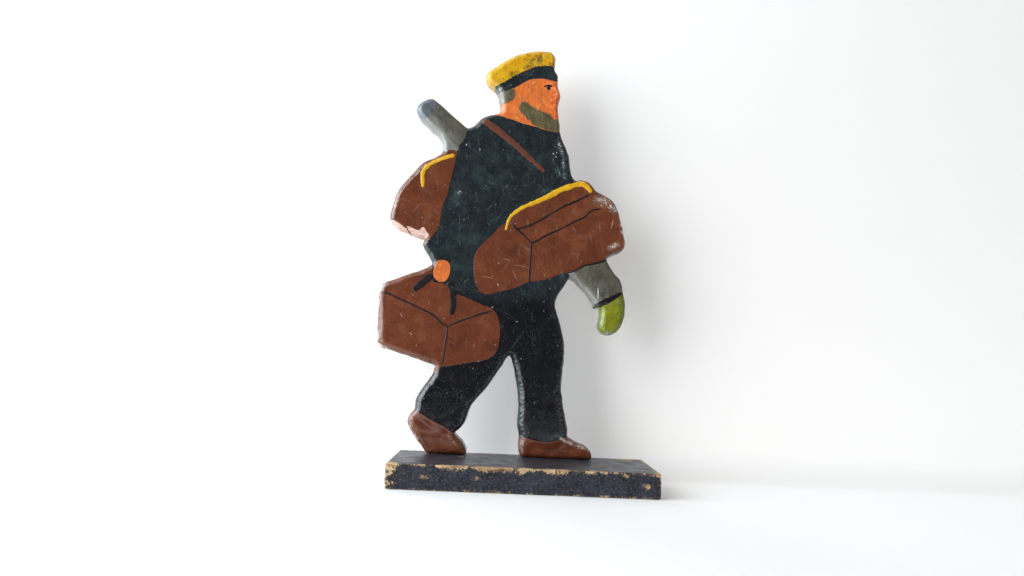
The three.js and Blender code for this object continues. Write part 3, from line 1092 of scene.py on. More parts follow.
@dataclass(frozen=True)
class BoardEnamel:
    """Gloss enamel of the board: coats over a dark blue ground, scratched, specked and rubbed at the edges.

    Attributes:
        effects: The shared effects.
        wander: How far painted borders stray from their lines.
        comb: How far a dry brush pulls out the border of the hair.
        feather: Softness of the border of bare wood.
        roughness: Mean roughness of the gloss.
        unevenness: How far the roughness varies.
        shine: Specular level of the gloss.
    """

    effects: Effects
    wander: float = 0.34
    comb: float = 1.8
    feather: float = 0.07
    roughness: float = 0.18
    unevenness: float = 0.06
    shine: float = 0.72

    def dress(self, piece: bpy.types.Object) -> None:
        """Build the material and give it to the board.

        Args:
            piece: The board.
        """
        wire = Paintwork("board_enamel")
        shift = wire.times(wire.minus(wire.noise(0.7, 3.0, 0.6), 0.5), self.wander)
        ground = wire.group(self.effects.tone, Color=JACKET_BLUE, Mottle=0.3, Streak=0.14)
        colour, raised = ground["Color"], 0.0
        for coat in COATS:
            stray = self.combed(wire, shift) if coat.zone is Zone.HAIR else shift
            layer = wire.group(self.effects.layer, Under=colour, Paint=self.coat_colour(wire, coat),
                               Wander=stray, Feather=coat.feather, Distance=wire.stored(coat.zone.value))
            colour = layer["Color"]
            raised = wire.most(raised, wire.times(layer["Mask"], coat.build_up))
        colour, lines = self.marks(wire, colour)
        colour, bare = self.wear(wire, colour, shift)
        wire.give("Base Color", colour)
        gloss = wire.drifting(0.4, 3.0, self.roughness - self.unevenness, self.roughness + self.unevenness)
        wire.give("Roughness", wire.plus(gloss, wire.times(bare, 0.35)))
        wire.give("Specular IOR Level", self.shine)
        self.surface(wire, raised, lines, bare)
        piece.data.materials.append(wire.material)

    def combed(self, wire: Paintwork, shift: Socket) -> Socket:
        """Wander of a border that a dry brush has pulled out along its strokes."""
        hairs = wire.minus(wire.noise(0.9, 4.0, 0.7), 0.5)
        return wire.plus(shift, wire.times(hairs, self.comb))

    def coat_colour(self, wire: Paintwork, coat: Coat) -> Socket:
        """Work out the colour of one coat with its own markings.

        Args:
            wire: Wiring of the material.
            coat: The coat.

        Returns:
            Its colour.
        """
        markings = {Zone.ROLL: self.roll, Zone.GRIP: self.grip, Zone.LEATHER: self.leather,
                    Zone.SKIN: self.skin, Zone.CROWN: self.crown, Zone.HAIR: self.hair}
        brushed = wire.group(self.effects.tone, Color=coat.colour, Mottle=coat.mottle, Streak=coat.streak)
        tone = brushed["Color"]
        return markings[coat.zone](wire, tone) if coat.zone in markings else tone

    def roll(self, wire: Paintwork, tone: Socket) -> Socket:
        """Mark the long roll: a pale painted highlight along its lower side, dark painted shade along its
        upper side, bluish at its end.

        Args:
            wire: Wiring of the material.
            tone: Brushed grey.

        Returns:
            The marked colour.
        """
        x, _, z = wire.axes()
        streaks = wire.noise(0.9, 3.0, 0.62, wire.turned(45.0, (0.7, 0.3, 0.12)))
        ragged = wire.times(wire.minus(streaks, 0.5), 8.0)
        side = wire.plus(wire.times(wire.plus(x, z), math.sqrt(0.5)), ragged)
        along = wire.plus(wire.times(wire.minus(x, z), math.sqrt(0.5)), ragged)
        # Painted highlight along the roll's lower side, then painted shade along its upper side
        pale = wire.shade(tone, side, 64.2, 61.0, 0.5, (172, 172, 164))
        olive = wire.shade(pale, side, 65.0, 69.0, 0.45, (70, 66, 50))
        return wire.shade(olive, along, -115.0, -117.6, 0.75, (96, 102, 116))

    def grip(self, wire: Paintwork, tone: Socket) -> Socket:
        """Mark the green grip with paler clouds, and with painted shade that darkens it towards its outer
        side.
        """
        light = wire.shade(tone, wire.noise(0.5, 4.0, 0.65), 0.5, 0.72, 0.75, (166, 174, 46))
        # Painted shade: darker towards the grip's outer side
        return wire.shade(light, wire.axes()[0], 29.0, 35.0, 0.6, (74, 78, 12))

    def leather(self, wire: Paintwork, tone: Socket) -> Socket:
        """Mark the luggage and the shoes with light and deep clouds, with deeper patches low on the shoes.

        Args:
            wire: Wiring of the material.
            tone: Brushed brown.

        Returns:
            The marked colour.
        """
        clouds = wire.noise(0.16, 4.0, 0.6)
        light = wire.shade(tone, clouds, 0.5, 0.7, 0.7, (128, 71, 44))
        deep = wire.shade(light, clouds, 0.46, 0.28, 0.7, (84, 42, 27))
        patches = wire.ramp(wire.noise(0.35, 3.0), 0.4, 0.6)
        shoe = wire.times(wire.ramp(wire.axes()[2], 25.0, 22.0), patches)
        return wire.tint(deep, shoe, 0.5, (88, 43, 26))

    def skin(self, wire: Paintwork, tone: Socket) -> Socket:
        """Mark the skin with pale and ruddy clouds, ruddier to the right, and with painted shade that darkens
        the hand.

        Args:
            wire: Wiring of the material.
            tone: Brushed orange.

        Returns:
            The marked colour.
        """
        x, _, z = wire.axes()
        clouds = wire.noise(0.62, 4.0, 0.7)
        limit = wire.ramp(x, 2.0, 8.5, 0.57, 0.42)
        pale = wire.shade(tone, clouds, 0.47, 0.33, 0.7, (244, 164, 96))
        ruddy = wire.shade(pale, clouds, limit, wire.plus(limit, 0.16), 0.7, (186, 66, 36))
        # Painted shade: the skin darkens downwards from the face, over the hand
        return wire.shade(ruddy, z, 90.0, 78.0, 0.2, (150, 84, 44))

    def crown(self, wire: Paintwork, tone: Socket) -> Socket:
        """Mark the crown of the cap with warm clouds and with dark grime, which is denser to the right.

        Args:
            wire: Wiring of the material.
            tone: Brushed yellow.

        Returns:
            The marked colour.
        """
        warm = wire.shade(tone, wire.noise(0.35), 0.48, 0.68, 1.0, (228, 164, 18))
        grime = wire.plus(wire.noise(0.4, 2.0, 0.6), wire.noise(2.4, 3.0, 0.7))
        limit = wire.ramp(wire.axes()[0], -16.0, -3.0, 1.12, 0.96)
        return wire.shade(warm, grime, limit, wire.plus(limit, 0.2), 0.8, (74, 54, 24))

    def hair(self, wire: Paintwork, tone: Socket) -> Socket:
        """Mark beard and hair with combed pale and dark streaks, and with a grey painted highlight on the hair
        behind the ear.

        Args:
            wire: Wiring of the material.
            tone: Brushed olive.

        Returns:
            The marked colour.
        """
        combed = wire.noise(1.0, 4.0, 0.7, wire.turned(8.0, (1.3, 0.4, 0.45)))
        pale = wire.shade(tone, combed, 0.52, 0.7, 0.5, (150, 138, 106))
        dark = wire.shade(pale, combed, 0.46, 0.3, 0.45, (62, 58, 34))
        # Painted highlight: greyer towards the left rim of the hair behind the ear
        return wire.shade(dark, wire.axes()[0], -9.0, -12.0, 0.5, (150, 150, 140))

    def marks(self, wire: Paintwork, colour: Socket) -> tuple[Socket, Socket]:
        """Add scratches, dust and pale specks over all coats, and a grey bloom on the jacket.

        Args:
            wire: Wiring of the material.
            colour: Colour under the marks.

        Returns:
            The marked colour and the mask of the scratches.
        """
        above = wire.stored(Zone.TROUSERS.value)
        lines = wire.group(self.effects.scratches, Share=0.56)["Mask"]
        lines = wire.times(lines, wire.ramp(above, -1.0, 3.0, 0.4, 1.0))
        specks = wire.group(self.effects.specks, Scale=0.55, Share=0.16, Size=0.14)["Mask"]
        dust = wire.group(self.effects.specks, Scale=1.5, Share=0.3, Size=0.28)["Mask"]
        cloth = wire.times(wire.ramp(above, 0.0, 8.0), wire.ramp(wire.stored(Zone.LEATHER.value), 0.0, 1.0))
        bloom = wire.times(wire.ramp(wire.noise(0.14, 5.0, 0.75), 0.48, 0.7, 0.0, 0.22), cloth)
        hazy = wire.mix(bloom, colour, (70, 100, 98))
        dusty = wire.tint(hazy, dust, 0.14, (140, 146, 142))
        scratched = wire.tint(dusty, lines, 0.22, (128, 142, 138))
        return wire.tint(scratched, specks, 0.5, (180, 182, 172)), lines

    def wear(self, wire: Paintwork, colour: Socket, shift: Socket) -> tuple[Socket, Socket]:
        """Rub the paint off at the worn places and down to bare wood under the bag.

        Args:
            wire: Wiring of the material.
            colour: Colour under the wear.
            shift: Wander of painted borders.

        Returns:
            The worn colour and the mask of the bare wood.
        """
        worn = wire.stored("wear")
        rubbed = wire.group(self.effects.rubbed, Wear=worn, Ragged=1.1)
        wood = wire.group(self.effects.wood, Pale=(236, 202, 188), Deep=(200, 152, 132))["Color"]
        primer = wire.group(self.effects.wood, Pale=(214, 204, 194), Deep=(172, 150, 136))["Color"]
        bared = wire.group(self.effects.layer, Under=colour, Paint=wood, Wander=shift, Feather=self.feather,
                           Distance=wire.stored(Zone.BARE.value))
        haze = wire.times(rubbed["Haze"], wire.ramp(worn, 0.05, 0.4, 0.0, 0.5))
        off_leather = wire.ramp(wire.stored(Zone.LEATHER.value), -0.3, 0.3)
        scuff = wire.mix(off_leather, (156, 134, 124), (104, 122, 124))
        mask = wire.times(rubbed["Mask"], 0.85)
        dulled = wire.mix(haze, bared["Color"], scuff)
        return wire.mix(mask, dulled, primer), wire.most(mask, bared["Mask"])

    def surface(self, wire: Paintwork, raised: Socket, lines: Socket, bare: Socket) -> None:
        """Set the fine relief: brush waves, lumps at the rim, steps of the coats, scratches and lost paint.

        Args:
            wire: Wiring of the material.
            raised: Thickness of the coats.
            lines: Mask of the scratches.
            bare: Mask of the bare wood.
        """
        waves = wire.times(wire.noise(0.35), 0.05)
        fine = wire.times(wire.noise(1.1, vector=wire.turned(0.0, (1.0, 1.0, 0.14))), 0.026)
        rim = wire.ramp(wire.stored("edge"), 3.2, 0.6, 0.0, 0.38)
        lumps = wire.times(wire.noise(0.95, 3.0, 0.55), rim)
        cut = wire.plus(wire.times(lines, 0.012), wire.times(bare, 0.06))
        wire.relief(wire.minus(wire.plus(waves, fine, wire.times(raised, 0.8), lumps), cut))


@dataclass(frozen=True)
class Stroke:
    """One raised brush stroke.

    Attributes:
        path: Points of its middle line.
        widths: Width at even shares of its length.
        height: How far its middle stands proud.
    """

    path: Border
    widths: tuple[float, ...]
    height: float = 0.04


@dataclass(frozen=True)
class StrokeEnamel:
    """Enamel of a brush stroke: a colour in clouds and streaks.

    Attributes:
        name: Name of the material.
        colour: Main colour.
        shade: Colour of its thin or dirty places.
        shade_share: How much of it is shaded.
        roughness: Roughness of the paint.
    """

    name: str
    colour: Colour
    shade: Colour
    shade_share: float = 0.4
    roughness: float = 0.34

    def dress(self, piece: bpy.types.Object, effects: Effects) -> None:
        """Build the material and give it to a piece.

        Args:
            piece: Piece of brush work.
            effects: The shared effects.
        """
        wire = Paintwork(self.name)
        tone = wire.group(effects.tone, Color=self.colour, Mottle=0.12, Streak=0.1)["Color"]
        thin = wire.noise(0.8, 4.0, 0.65)
        mixed = wire.shade(tone, thin, 0.66 - 0.3 * self.shade_share, 0.74, 0.8, self.shade)
        lines = wire.group(effects.scratches, Share=0.4)["Mask"]
        wire.give("Base Color", wire.tint(mixed, lines, 0.3, (160, 150, 140)))
        wire.give("Roughness", wire.drifting(0.5, 2.0, self.roughness - 0.06, self.roughness + 0.08))
        wire.relief(wire.times(wire.noise(1.3, 3.0), 0.05))
        piece.data.materials.append(wire.material)


SEAM_BLACK = StrokeEnamel("seam_black", (20, 14, 14), (48, 28, 24))
PIPING_YELLOW = StrokeEnamel("piping_yellow", (224, 170, 22), (184, 116, 16), 0.6)
STRAP_BROWN = StrokeEnamel("strap_brown", (106, 58, 42), (80, 44, 36), 0.6)
# Pale flecks of paint, and two pale strokes that are painted glints
FLECK_AND_GLINT_PALE = StrokeEnamel("pale_fleck_and_glint", (196, 196, 186), (150, 146, 136), 0.5, 0.45)
SCRATCH_TAN = StrokeEnamel("scratch_tan", (158, 116, 92), (120, 76, 58), 0.7, 0.5)

SEAM = (0.68, 0.8, 0.66, 0.82, 0.66)
STROKES: dict[str, tuple[StrokeEnamel, tuple[Stroke, ...]]] = {
    "trunk_seams": (SEAM_BLACK, (
        Stroke(((-6.7, 89), (-4.9, 87.1), (-2, 84.6), (0.5, 82.3)), SEAM),
        Stroke(((-5.0, 86.9), (-1, 88.2), (3, 90.3), (7, 93), (11, 95.5), (16, 98), (20.3, 100.4)), SEAM),
        Stroke(((0.4, 82.2), (3, 83.5), (5, 84.9), (10, 87.4), (15, 90.3), (19, 92.4), (20, 93.8), (22, 95),
                (24.5, 95.4)), SEAM),
        Stroke(((0.5, 82.6), (0.4, 79), (0.3, 75), (0.2, 72), (0.3, 68.6)), SEAM),
        # Dark line along the trunk's lower border over the roll: a painted seam that also paints the shadow
        # under the trunk's edge
        Stroke(((13, 72.1), (16.5, 73.4), (19, 75), (22, 75.8), (25.5, 76.8), (27.4, 77.7)),
               (0.5, 0.6, 0.7, 0.8, 0.9, 0.5)),
    )),
    "case_seams": (SEAM_BLACK, (
        Stroke(((-51.2, 63.1), (-48, 62.2), (-44.5, 60.7), (-40, 58.9), (-36, 57.2), (-33, 55.8),
                (-31, 54.2), (-29, 52.5), (-27.4, 51.8)), SEAM),
        Stroke(((-27.8, 51.7), (-23.9, 53.6), (-19.9, 55.2), (-16, 56.7), (-12.3, 57.9)), SEAM),
        Stroke(((-27.6, 52), (-27.7, 48), (-28, 45), (-28.5, 41), (-28.9, 38.6)), SEAM),
    )),
    "case_handle": (SEAM_BLACK, (
        Stroke(((-33.5, 69.6), (-34.8, 68.6), (-36.4, 67.2), (-38, 65.6), (-39.9, 63.9)), (1.9, 2.8, 2.9,
                2.7, 2.3)),
        Stroke(((-27.6, 67.6), (-26.4, 64.6), (-25.8, 61), (-26, 58), (-26.5, 55.8)), (2.6, 3.0, 2.8, 2.3,
                1.5)),
    )),
    "roll_band": (SEAM_BLACK, (
        Stroke(((23.5, 61.2), (24.8, 61.7), (26.6, 62.5), (29, 63.8), (32.4, 66)), (1.7, 2.1, 2.1, 2.0,
                1.6)),
    )),
    "trunk_piping": (PIPING_YELLOW, (
        Stroke(((-8.7, 86.4), (-8.3, 88.5), (-7.9, 90), (-7, 91.6), (-5, 93.4), (-3, 94.8), (0, 96.2),
                (3, 97.6), (6, 99.2), (8.5, 100.7), (10, 101.6), (13, 102.8), (15, 103.6), (17.5, 104.1),
                (19.3, 103), (20.9, 101.2)), (0.9, 1.1, 1.3, 1.5, 1.6, 2.1, 2.3, 2.0, 2.2, 1.7), 0.16),
    )),
    "bag_piping": (PIPING_YELLOW, (
        Stroke(((-27.8, 112.3), (-30, 111.8), (-33, 110.6), (-36, 109), (-38, 107.2), (-38.8, 105.2),
                (-38.7, 103), (-38.5, 100.4)), (1.6, 1.5, 1.4, 1.4, 1.6, 1.7, 1.5, 0.9), 0.14),
    )),
    "strap": (STRAP_BROWN, (
        Stroke(((-18.4, 125.6), (-14.5, 123), (-10, 119.7), (-6, 116.6), (-2, 113), (1, 110.6),
                (4.2, 107.7)), (2.2, 2.4, 2.3, 2.2, 2.0, 1.7, 1.0), 0.08),
    )),
    "eye_mark": (SEAM_BLACK, (
        Stroke(((2.6, 138.6), (4.2, 139), (5.8, 138.9)), (0.75, 1.1, 0.9)),
        Stroke(((4.1, 138.8), (4.4, 138.1), (4.6, 137.4)), (1.5, 1.8, 1.3)),
    )),
    "paint_flecks": (FLECK_AND_GLINT_PALE, (
        Stroke(((-24.1, 116.2), (-23.7, 116.4)), (0.9, 0.9), 0.05),
        Stroke(((-10.8, 67.1), (-10.4, 67.2)), (0.7, 0.7), 0.04),
        # Painted glint on the suitcase's upper corner
        Stroke(((-12.5, 59.1), (-12.0, 59.3)), (0.5, 0.6), 0.04),
        Stroke(((-19.2, 114.6), (-19.0, 115.0)), (0.5, 0.5), 0.04),
        Stroke(((6.7, 114.7), (7.2, 114.2)), (0.3, 0.42), 0.03),
        Stroke(((7.9, 114.9), (8.3, 114.9)), (0.3, 0.36), 0.03),
        Stroke(((7.5, 113.2), (8.2, 113.5)), (0.26, 0.4), 0.03),
        Stroke(((6.9, 112.5), (7.2, 112.4)), (0.3, 0.3), 0.03),
        # Painted highlight: a pale streak down the middle of the roll
        Stroke(((24.2, 67.6), (24.4, 65.6), (24.5, 63.8)), (0.25, 0.55, 0.3), 0.03),
    )),
    "trunk_scratches": (SCRATCH_TAN, (
        Stroke(((-9.5, 76.3), (-8, 76.1), (-6.5, 75.6)), (0.12, 0.26, 0.12), 0.015),
        Stroke(((-6, 72.5), (-5, 71), (-4.2, 69.2)), (0.12, 0.24, 0.12), 0.015),
        Stroke(((-5.5, 74.3), (-3, 74.1), (0, 73.5)), (0.12, 0.22, 0.1), 0.015),
        Stroke(((-17, 69.8), (-15, 69.7), (-12.5, 69.3)), (0.1, 0.22, 0.1), 0.015),
        Stroke(((14.6, 88.6), (15.6, 87.4)), (0.3, 0.16), 0.015),
        Stroke(((28.9, 92), (28.6, 90.2), (28.2, 88.6)), (0.3, 0.5, 0.2), 0.015),
        Stroke(((21, 86.4), (21.4, 84)), (0.2, 0.14), 0.015),
        Stroke(((-40.6, 49.4), (-39.6, 48.4)), (0.3, 0.5), 0.015),
        Stroke(((-44, 55.8), (-43.2, 54.4)), (0.4, 0.2), 0.015),
    )),
}


@dataclass
class BrushStrokes:
    """Every stroke that stands proud of the coats, on the front and mirrored on the back.

    Attributes:
        board: The board under the strokes.
        effects: The shared effects.
        spacing: Distance between the rings of a stroke.
        ring_points: Points of a ring.
        sink: How far its underside lies below the face.
        wobble: Share by which its width varies.
        wobble_cell: Length of that variation.
        lumps: Share by which its height varies.
        lump_cell: Length of that variation.
        tip: Square of the share of the width that is left at its very ends.
        seed_step: Spread of the seeds between pieces.
    """

    board: SawnBoard
    effects: Effects
    spacing: float = 0.28
    ring_points: int = 12
    sink: float = 0.05
    wobble: float = 0.2
    wobble_cell: float = 1.1
    lumps: float = 0.35
    lump_cell: float = 1.7
    tip: float = 0.01
    seed_step: int = 7

    def build(self) -> None:
        """Build one piece for each group of strokes and dress it."""
        for name, (enamel, strokes) in STROKES.items():
            vertices, faces = [], []
            for number, stroke in enumerate(strokes):
                for side in (-1, 1):
                    rings = self.rings(stroke, side, seed=number + self.seed_step * len(name))
                    start = sum(len(part) for part in vertices)
                    vertices.append(rings.reshape(-1, 3))
                    faces += self.skin(len(rings), start, side)
            piece = new_piece(name, np.concatenate(vertices), faces)
            enamel.dress(piece, self.effects)

    def rings(self, stroke: Stroke, side: int, seed: int) -> Points:
        """Carry a lens section along a stroke.

        Across the stroke, with u from -1 to 1, the top stands height times (1 - u^2) above the board and the
        underside lies a little below it. Both ends close over half a width, as sqrt(1 - t^2).

        Args:
            stroke: The stroke.
            side: -1 for the front face, 1 for the back.
            seed: Choice of the noise that makes its edges uneven.

        Returns:
            Array of rings, points and coordinates.
        """
        path = smooth_path(stroke.path, self.spacing)
        share = np.linspace(0, 1, len(path))
        width = np.interp(share, np.linspace(0, 1, len(stroke.widths)), stroke.widths)
        width = width * (1 + self.wobble * lattice_noise(path, self.wobble_cell, seed))
        to_end = np.minimum(share, 1 - share) * len(path) * self.spacing / (width / 2)
        width = width * np.sqrt(np.maximum(1 - np.clip(1 - to_end, 0, 1) ** 2, self.tip))
        along = np.gradient(path, axis=0)
        across = np.stack([-along[:, 1], along[:, 0]], axis=1) / np.linalg.norm(along, axis=1, keepdims=True)
        angle = np.linspace(0, 2 * math.pi, self.ring_points, endpoint=False)
        reach = np.cos(angle)
        flat = path[:, None] + across[:, None] * (reach[:, None] * width[:, None, None] / 2)
        top = np.where(np.sin(angle) > 0, 1 - reach ** 2, 0)
        lumps = 1 + self.lumps * lattice_noise(path, self.lump_cell, seed + 1)
        lift = stroke.height * top * (lumps * width / width.max())[:, None]
        lift = lift - self.sink * (np.sin(angle) <= NO_GAP)
        half = self.board.half(flat.reshape(-1, 2)).reshape(lift.shape)
        depth = self.board.middle + side * (half + lift)
        return np.stack([flat[..., 0], depth, flat[..., 1]], axis=-1)

    def skin(self, count: int, start: int, side: int) -> list:
        """Join the rings of one stroke with faces and close its ends.

        Args:
            count: Number of rings.
            start: Number of the first point.
            side: -1 for the front face, 1 for the back.

        Returns:
            Corner lists that point outwards.
        """
        grid = start + np.arange(count * self.ring_points).reshape(count, self.ring_points)
        ahead = np.roll(grid, -1, axis=1)
        quads = np.stack([grid[:-1], grid[1:], ahead[1:], ahead[:-1]], axis=-1).reshape(-1, 4)
        faces = quads.tolist() + [grid[0].tolist(), grid[-1, ::-1].tolist()]
        return faces if side > 0 else [face[::-1] for face in faces]


# Chips on the faces of the base: centre, half sizes and depth
BASE_CHIPS = (
    ((-30.8, -17.7, 4.2), (1.6, 0.7, 0.6), 0.66),
    ((38.3, -17.7, 4.2), (1.3, 0.7, 1.1), 0.7),
    ((-14.6, -17.7, 4.6), (0.9, 0.7, 0.8), 0.52),
    ((-41.2, -17.7, 2.0), (2.0, 0.7, 0.7), 0.7),
    ((32.0, -17.7, 7.0), (1.6, 0.7, 0.6), 0.66),
    ((36.0, 14.2, 8.0), (3.4, 1.8, 0.8), 0.78),
    ((-20.4, 5.2, 8.0), (1.6, 0.9, 0.8), 0.66),
)


@dataclass(frozen=True)
class WornEdge:
    """Paint lost along one edge of the base.

    Attributes:
        axis: Axis along which the edge runs.
        place: The edge's two other coordinates, in the order x, y, z.
        loss: Pairs of place along the edge and width of the bare strip.
    """

    axis: int
    place: tuple[float, float]
    loss: Border


WORN_EDGES = (
    WornEdge(0, (-17.75, 8.0), (
        (-43, 2.8), (-40, 2.0), (-38.8, 0.1), (-28, 0.0), (-25.5, 0.7), (-21, 1.2), (-18, 0.9), (-15.5, 0.3),
        (-12.5, 1.3), (-6, 0.9), (-3, 1.0), (0, 1.7), (2, 0.8), (4, 0.3), (7, 0.8), (10, 1.5), (13.5, 1.0),
        (15, 0.3), (22, 0.5), (26, 0.1), (34, 0.0), (40, 0.2), (43, 1.0))),
    WornEdge(2, (-43.0, -17.75), ((0, 0.4), (1.5, 0.9), (3, 0.2), (4.2, 0.6), (5, 2.2), (8, 2.8))),
    WornEdge(2, (43.0, -17.75), ((0, 0.1), (4, 0.1), (6, 0.6), (8, 1.1))),
    WornEdge(0, (-17.75, 0.0), ((-43, 0.6), (-40, 0.0), (-10, 0.15), (0, 0.0), (20, 0.15), (43, 0.2))),
    WornEdge(1, (43.0, 8.0), ((-17.75, 1.1), (0, 0.5), (10, 0.8), (17.75, 1.3))),
    WornEdge(1, (-43.0, 8.0), ((-17.75, 1.2), (-10, 0.4), (17.75, 0.4))),
    WornEdge(0, (17.75, 8.0), ((-43, 0.4), (20, 0.4), (30, 1.0), (36, 2.0), (41, 1.8), (43, 1.0))),
    WornEdge(0, (17.75, 0.0), ((-43, 0.8), (-10, 0.4), (20, 0.9), (43, 0.6))),
    WornEdge(2, (-43.0, 17.75), ((0, 0.8), (8, 0.6))),
    WornEdge(2, (43.0, 17.75), ((0, 0.5), (8, 1.1))),
    WornEdge(1, (-43.0, 0.0), ((-17.75, 0.8), (17.75, 0.5))),
    WornEdge(1, (43.0, 0.0), ((-17.75, 0.5), (17.75, 0.7))),
)


@dataclass
class BaseBlock:
    """The base block: a plain block with knocked edges, dented by use, with recesses for the nail heads.

    Attributes:
        effects: The shared effects.
        spacing: Distance between mesh points.
        edge: Radius of the eased edges.
        edge_angles: Angles of that rounding at which rows of mesh points lie.
        dent: Depth of the knocks at the edges.
        dent_limit: Noise above which there is a knock.
        dent_reach: How far from an edge the knocks fade out.
        dent_band: How near a face a point lies that a knock moves.
        chip_depth: Thickness of the paint that is lost.
        chip_from: Wear at which the paint starts to thin.
        chip_span: Rise of the wear over which it goes.
        chip_side: Share of the edge radius past which a point moves along an axis as it thins.
        recess_radius: Radius of the recess for a nail's head.
        recess_top: Its depth.
        recess_wall: Width of its sloping wall.
        underside: Height below which a point belongs to the underside.
        strip_slope: How fast wear falls off across the border of a bare strip.
        strip_most: How far wear rises above the limit inside a strip.
        black: Colour of the enamel.
        shine: Its specular level.
    """

    effects: Effects
    spacing: float = 0.5
    edge: float = 0.55
    edge_angles: tuple[float, ...] = (0, 22, 45, 68, 90)
    dent: float = 0.22
    dent_limit: float = 0.25
    dent_reach: float = 1.1
    dent_band: float = 1.2
    chip_depth: float = 0.05
    chip_from: float = 0.2
    chip_span: float = 0.5
    chip_side: float = 0.4
    recess_radius: float = 2.15
    recess_top: float = 1.35
    recess_wall: float = 0.5
    underside: float = 0.3
    strip_slope: float = 0.42
    strip_most: float = 0.2
    black: Colour = (47, 49, 58)
    shine: float = 0.12

    def build(self) -> bpy.types.Object:
        """Build the block as six grids that meet in rounded edges.

        A point of the sharp box is first held inside the box that is smaller by the edge radius, then set
        off from there by that radius. Near an edge, noise knocks it back towards the middle, and where the
        paint is worn off, it lies lower by the paint's thickness.

        Returns:
            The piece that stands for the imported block.
        """
        low, high = (np.array(corner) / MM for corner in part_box("base_block"))
        middle, half = (low + high) / 2, (high - low) / 2
        vertices, quads = self.box_grid(half)
        core = np.clip(vertices, self.edge - half, half - self.edge)
        arm = vertices - core
        vertices = core + self.edge * arm / np.linalg.norm(arm, axis=1, keepdims=True)
        to_edge = np.sort(half - np.abs(vertices), axis=1)[:, 1]
        knocks = np.maximum(BASE_KNOCKS.at(vertices) - self.dent_limit, 0)
        pull = self.dent * knocks * np.exp(-((to_edge / self.dent_reach) ** 2))
        outer = np.abs(vertices) > half - self.dent_band
        vertices = vertices - np.sign(vertices) * pull[:, None] * outer
        worn = self.wear(vertices + middle)
        lost = self.chip_depth * eased((worn - self.chip_from) / self.chip_span)
        vertices = vertices - np.sign(arm) * (np.abs(arm) > self.chip_side * self.edge) * lost[:, None]
        piece = new_piece("painted_base", self.recessed(vertices + middle), quads.tolist())
        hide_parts("base_block")
        write_value(piece, "wear", worn)
        return piece

    def box_grid(self, half: Points) -> tuple[Points, Points]:
        """Six face grids of a box round the origin, finer at the edges, with shared points merged.

        Args:
            half: Half the box's size.

        Returns:
            Points, and quads that point outwards.
        """
        fine = self.edge * (1 - np.cos(np.radians(self.edge_angles)))
        ticks = []
        for reach in half:
            count = max(2, round(2 * (reach - self.edge) / self.spacing))
            inner = np.linspace(self.edge - reach, reach - self.edge, count + 1)
            ticks.append(np.concatenate([fine[:-1] - reach, inner, (reach - fine[:-1])[::-1]]))
        points, quads, total = [], [], 0
        for axis, sign in itertools.product(range(3), (-1, 1)):
            first, second = (axis + 1) % 3, (axis + 2) % 3
            u, v = np.meshgrid(ticks[first], ticks[second], indexing="ij")
            grid = np.empty((*u.shape, 3))
            grid[..., axis], grid[..., first], grid[..., second] = sign * half[axis], u, v
            number = total + np.arange(u.size).reshape(u.shape)
            corners = [number[:-1, :-1], number[1:, :-1], number[1:, 1:], number[:-1, 1:]]
            quads.append(np.stack(corners[::sign], axis=-1).reshape(-1, 4))
            points.append(grid.reshape(-1, 3))
            total += u.size
        every = np.concatenate(points)
        _, kept, number = np.unique(np.round(every, 4), axis=0, return_index=True, return_inverse=True)
        return every[kept], number.reshape(-1)[np.concatenate(quads)]

    def recessed(self, vertices: Points) -> Points:
        """Sink the underside round each nail head, with a steep eased wall.

        Args:
            vertices: Points of the block.

        Returns:
            The same points, those under a head set higher.
        """
        made = vertices.copy()
        for node in NAILS:
            low, high = (np.array(corner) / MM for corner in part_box(node))
            away = np.linalg.norm(vertices[:, :2] - (low + high)[:2] / 2, axis=1)
            depth = self.recess_top * eased((self.recess_radius + self.recess_wall - away) / self.recess_wall)
            below = vertices[:, 2] < self.underside
            made[:, 2] = np.where(below, np.maximum(made[:, 2], depth), made[:, 2])
        return made

    def wear(self, vertices: Points) -> Points:
        """Find the strongest wear at each place: chips fade as bells, a worn edge across its bare strip.

        Args:
            vertices: Points of the block.

        Returns:
            One value for each point.
        """
        fades = [depth * np.exp(-(((vertices - np.array(centre)) / np.array(size)) ** 2).sum(1))
                 for centre, size, depth in BASE_CHIPS]
        for edge in WORN_EDGES:
            others = [axis for axis in range(3) if axis != edge.axis]
            away = np.linalg.norm(vertices[:, others] - np.array(edge.place), axis=1)
            strip = np.interp(vertices[:, edge.axis], *np.array(edge.loss).T)
            fall = np.clip((strip - away) * self.strip_slope, -RUBBED_FROM, self.strip_most)
            fades.append(RUBBED_FROM + fall)
        return np.maximum.reduce(fades)

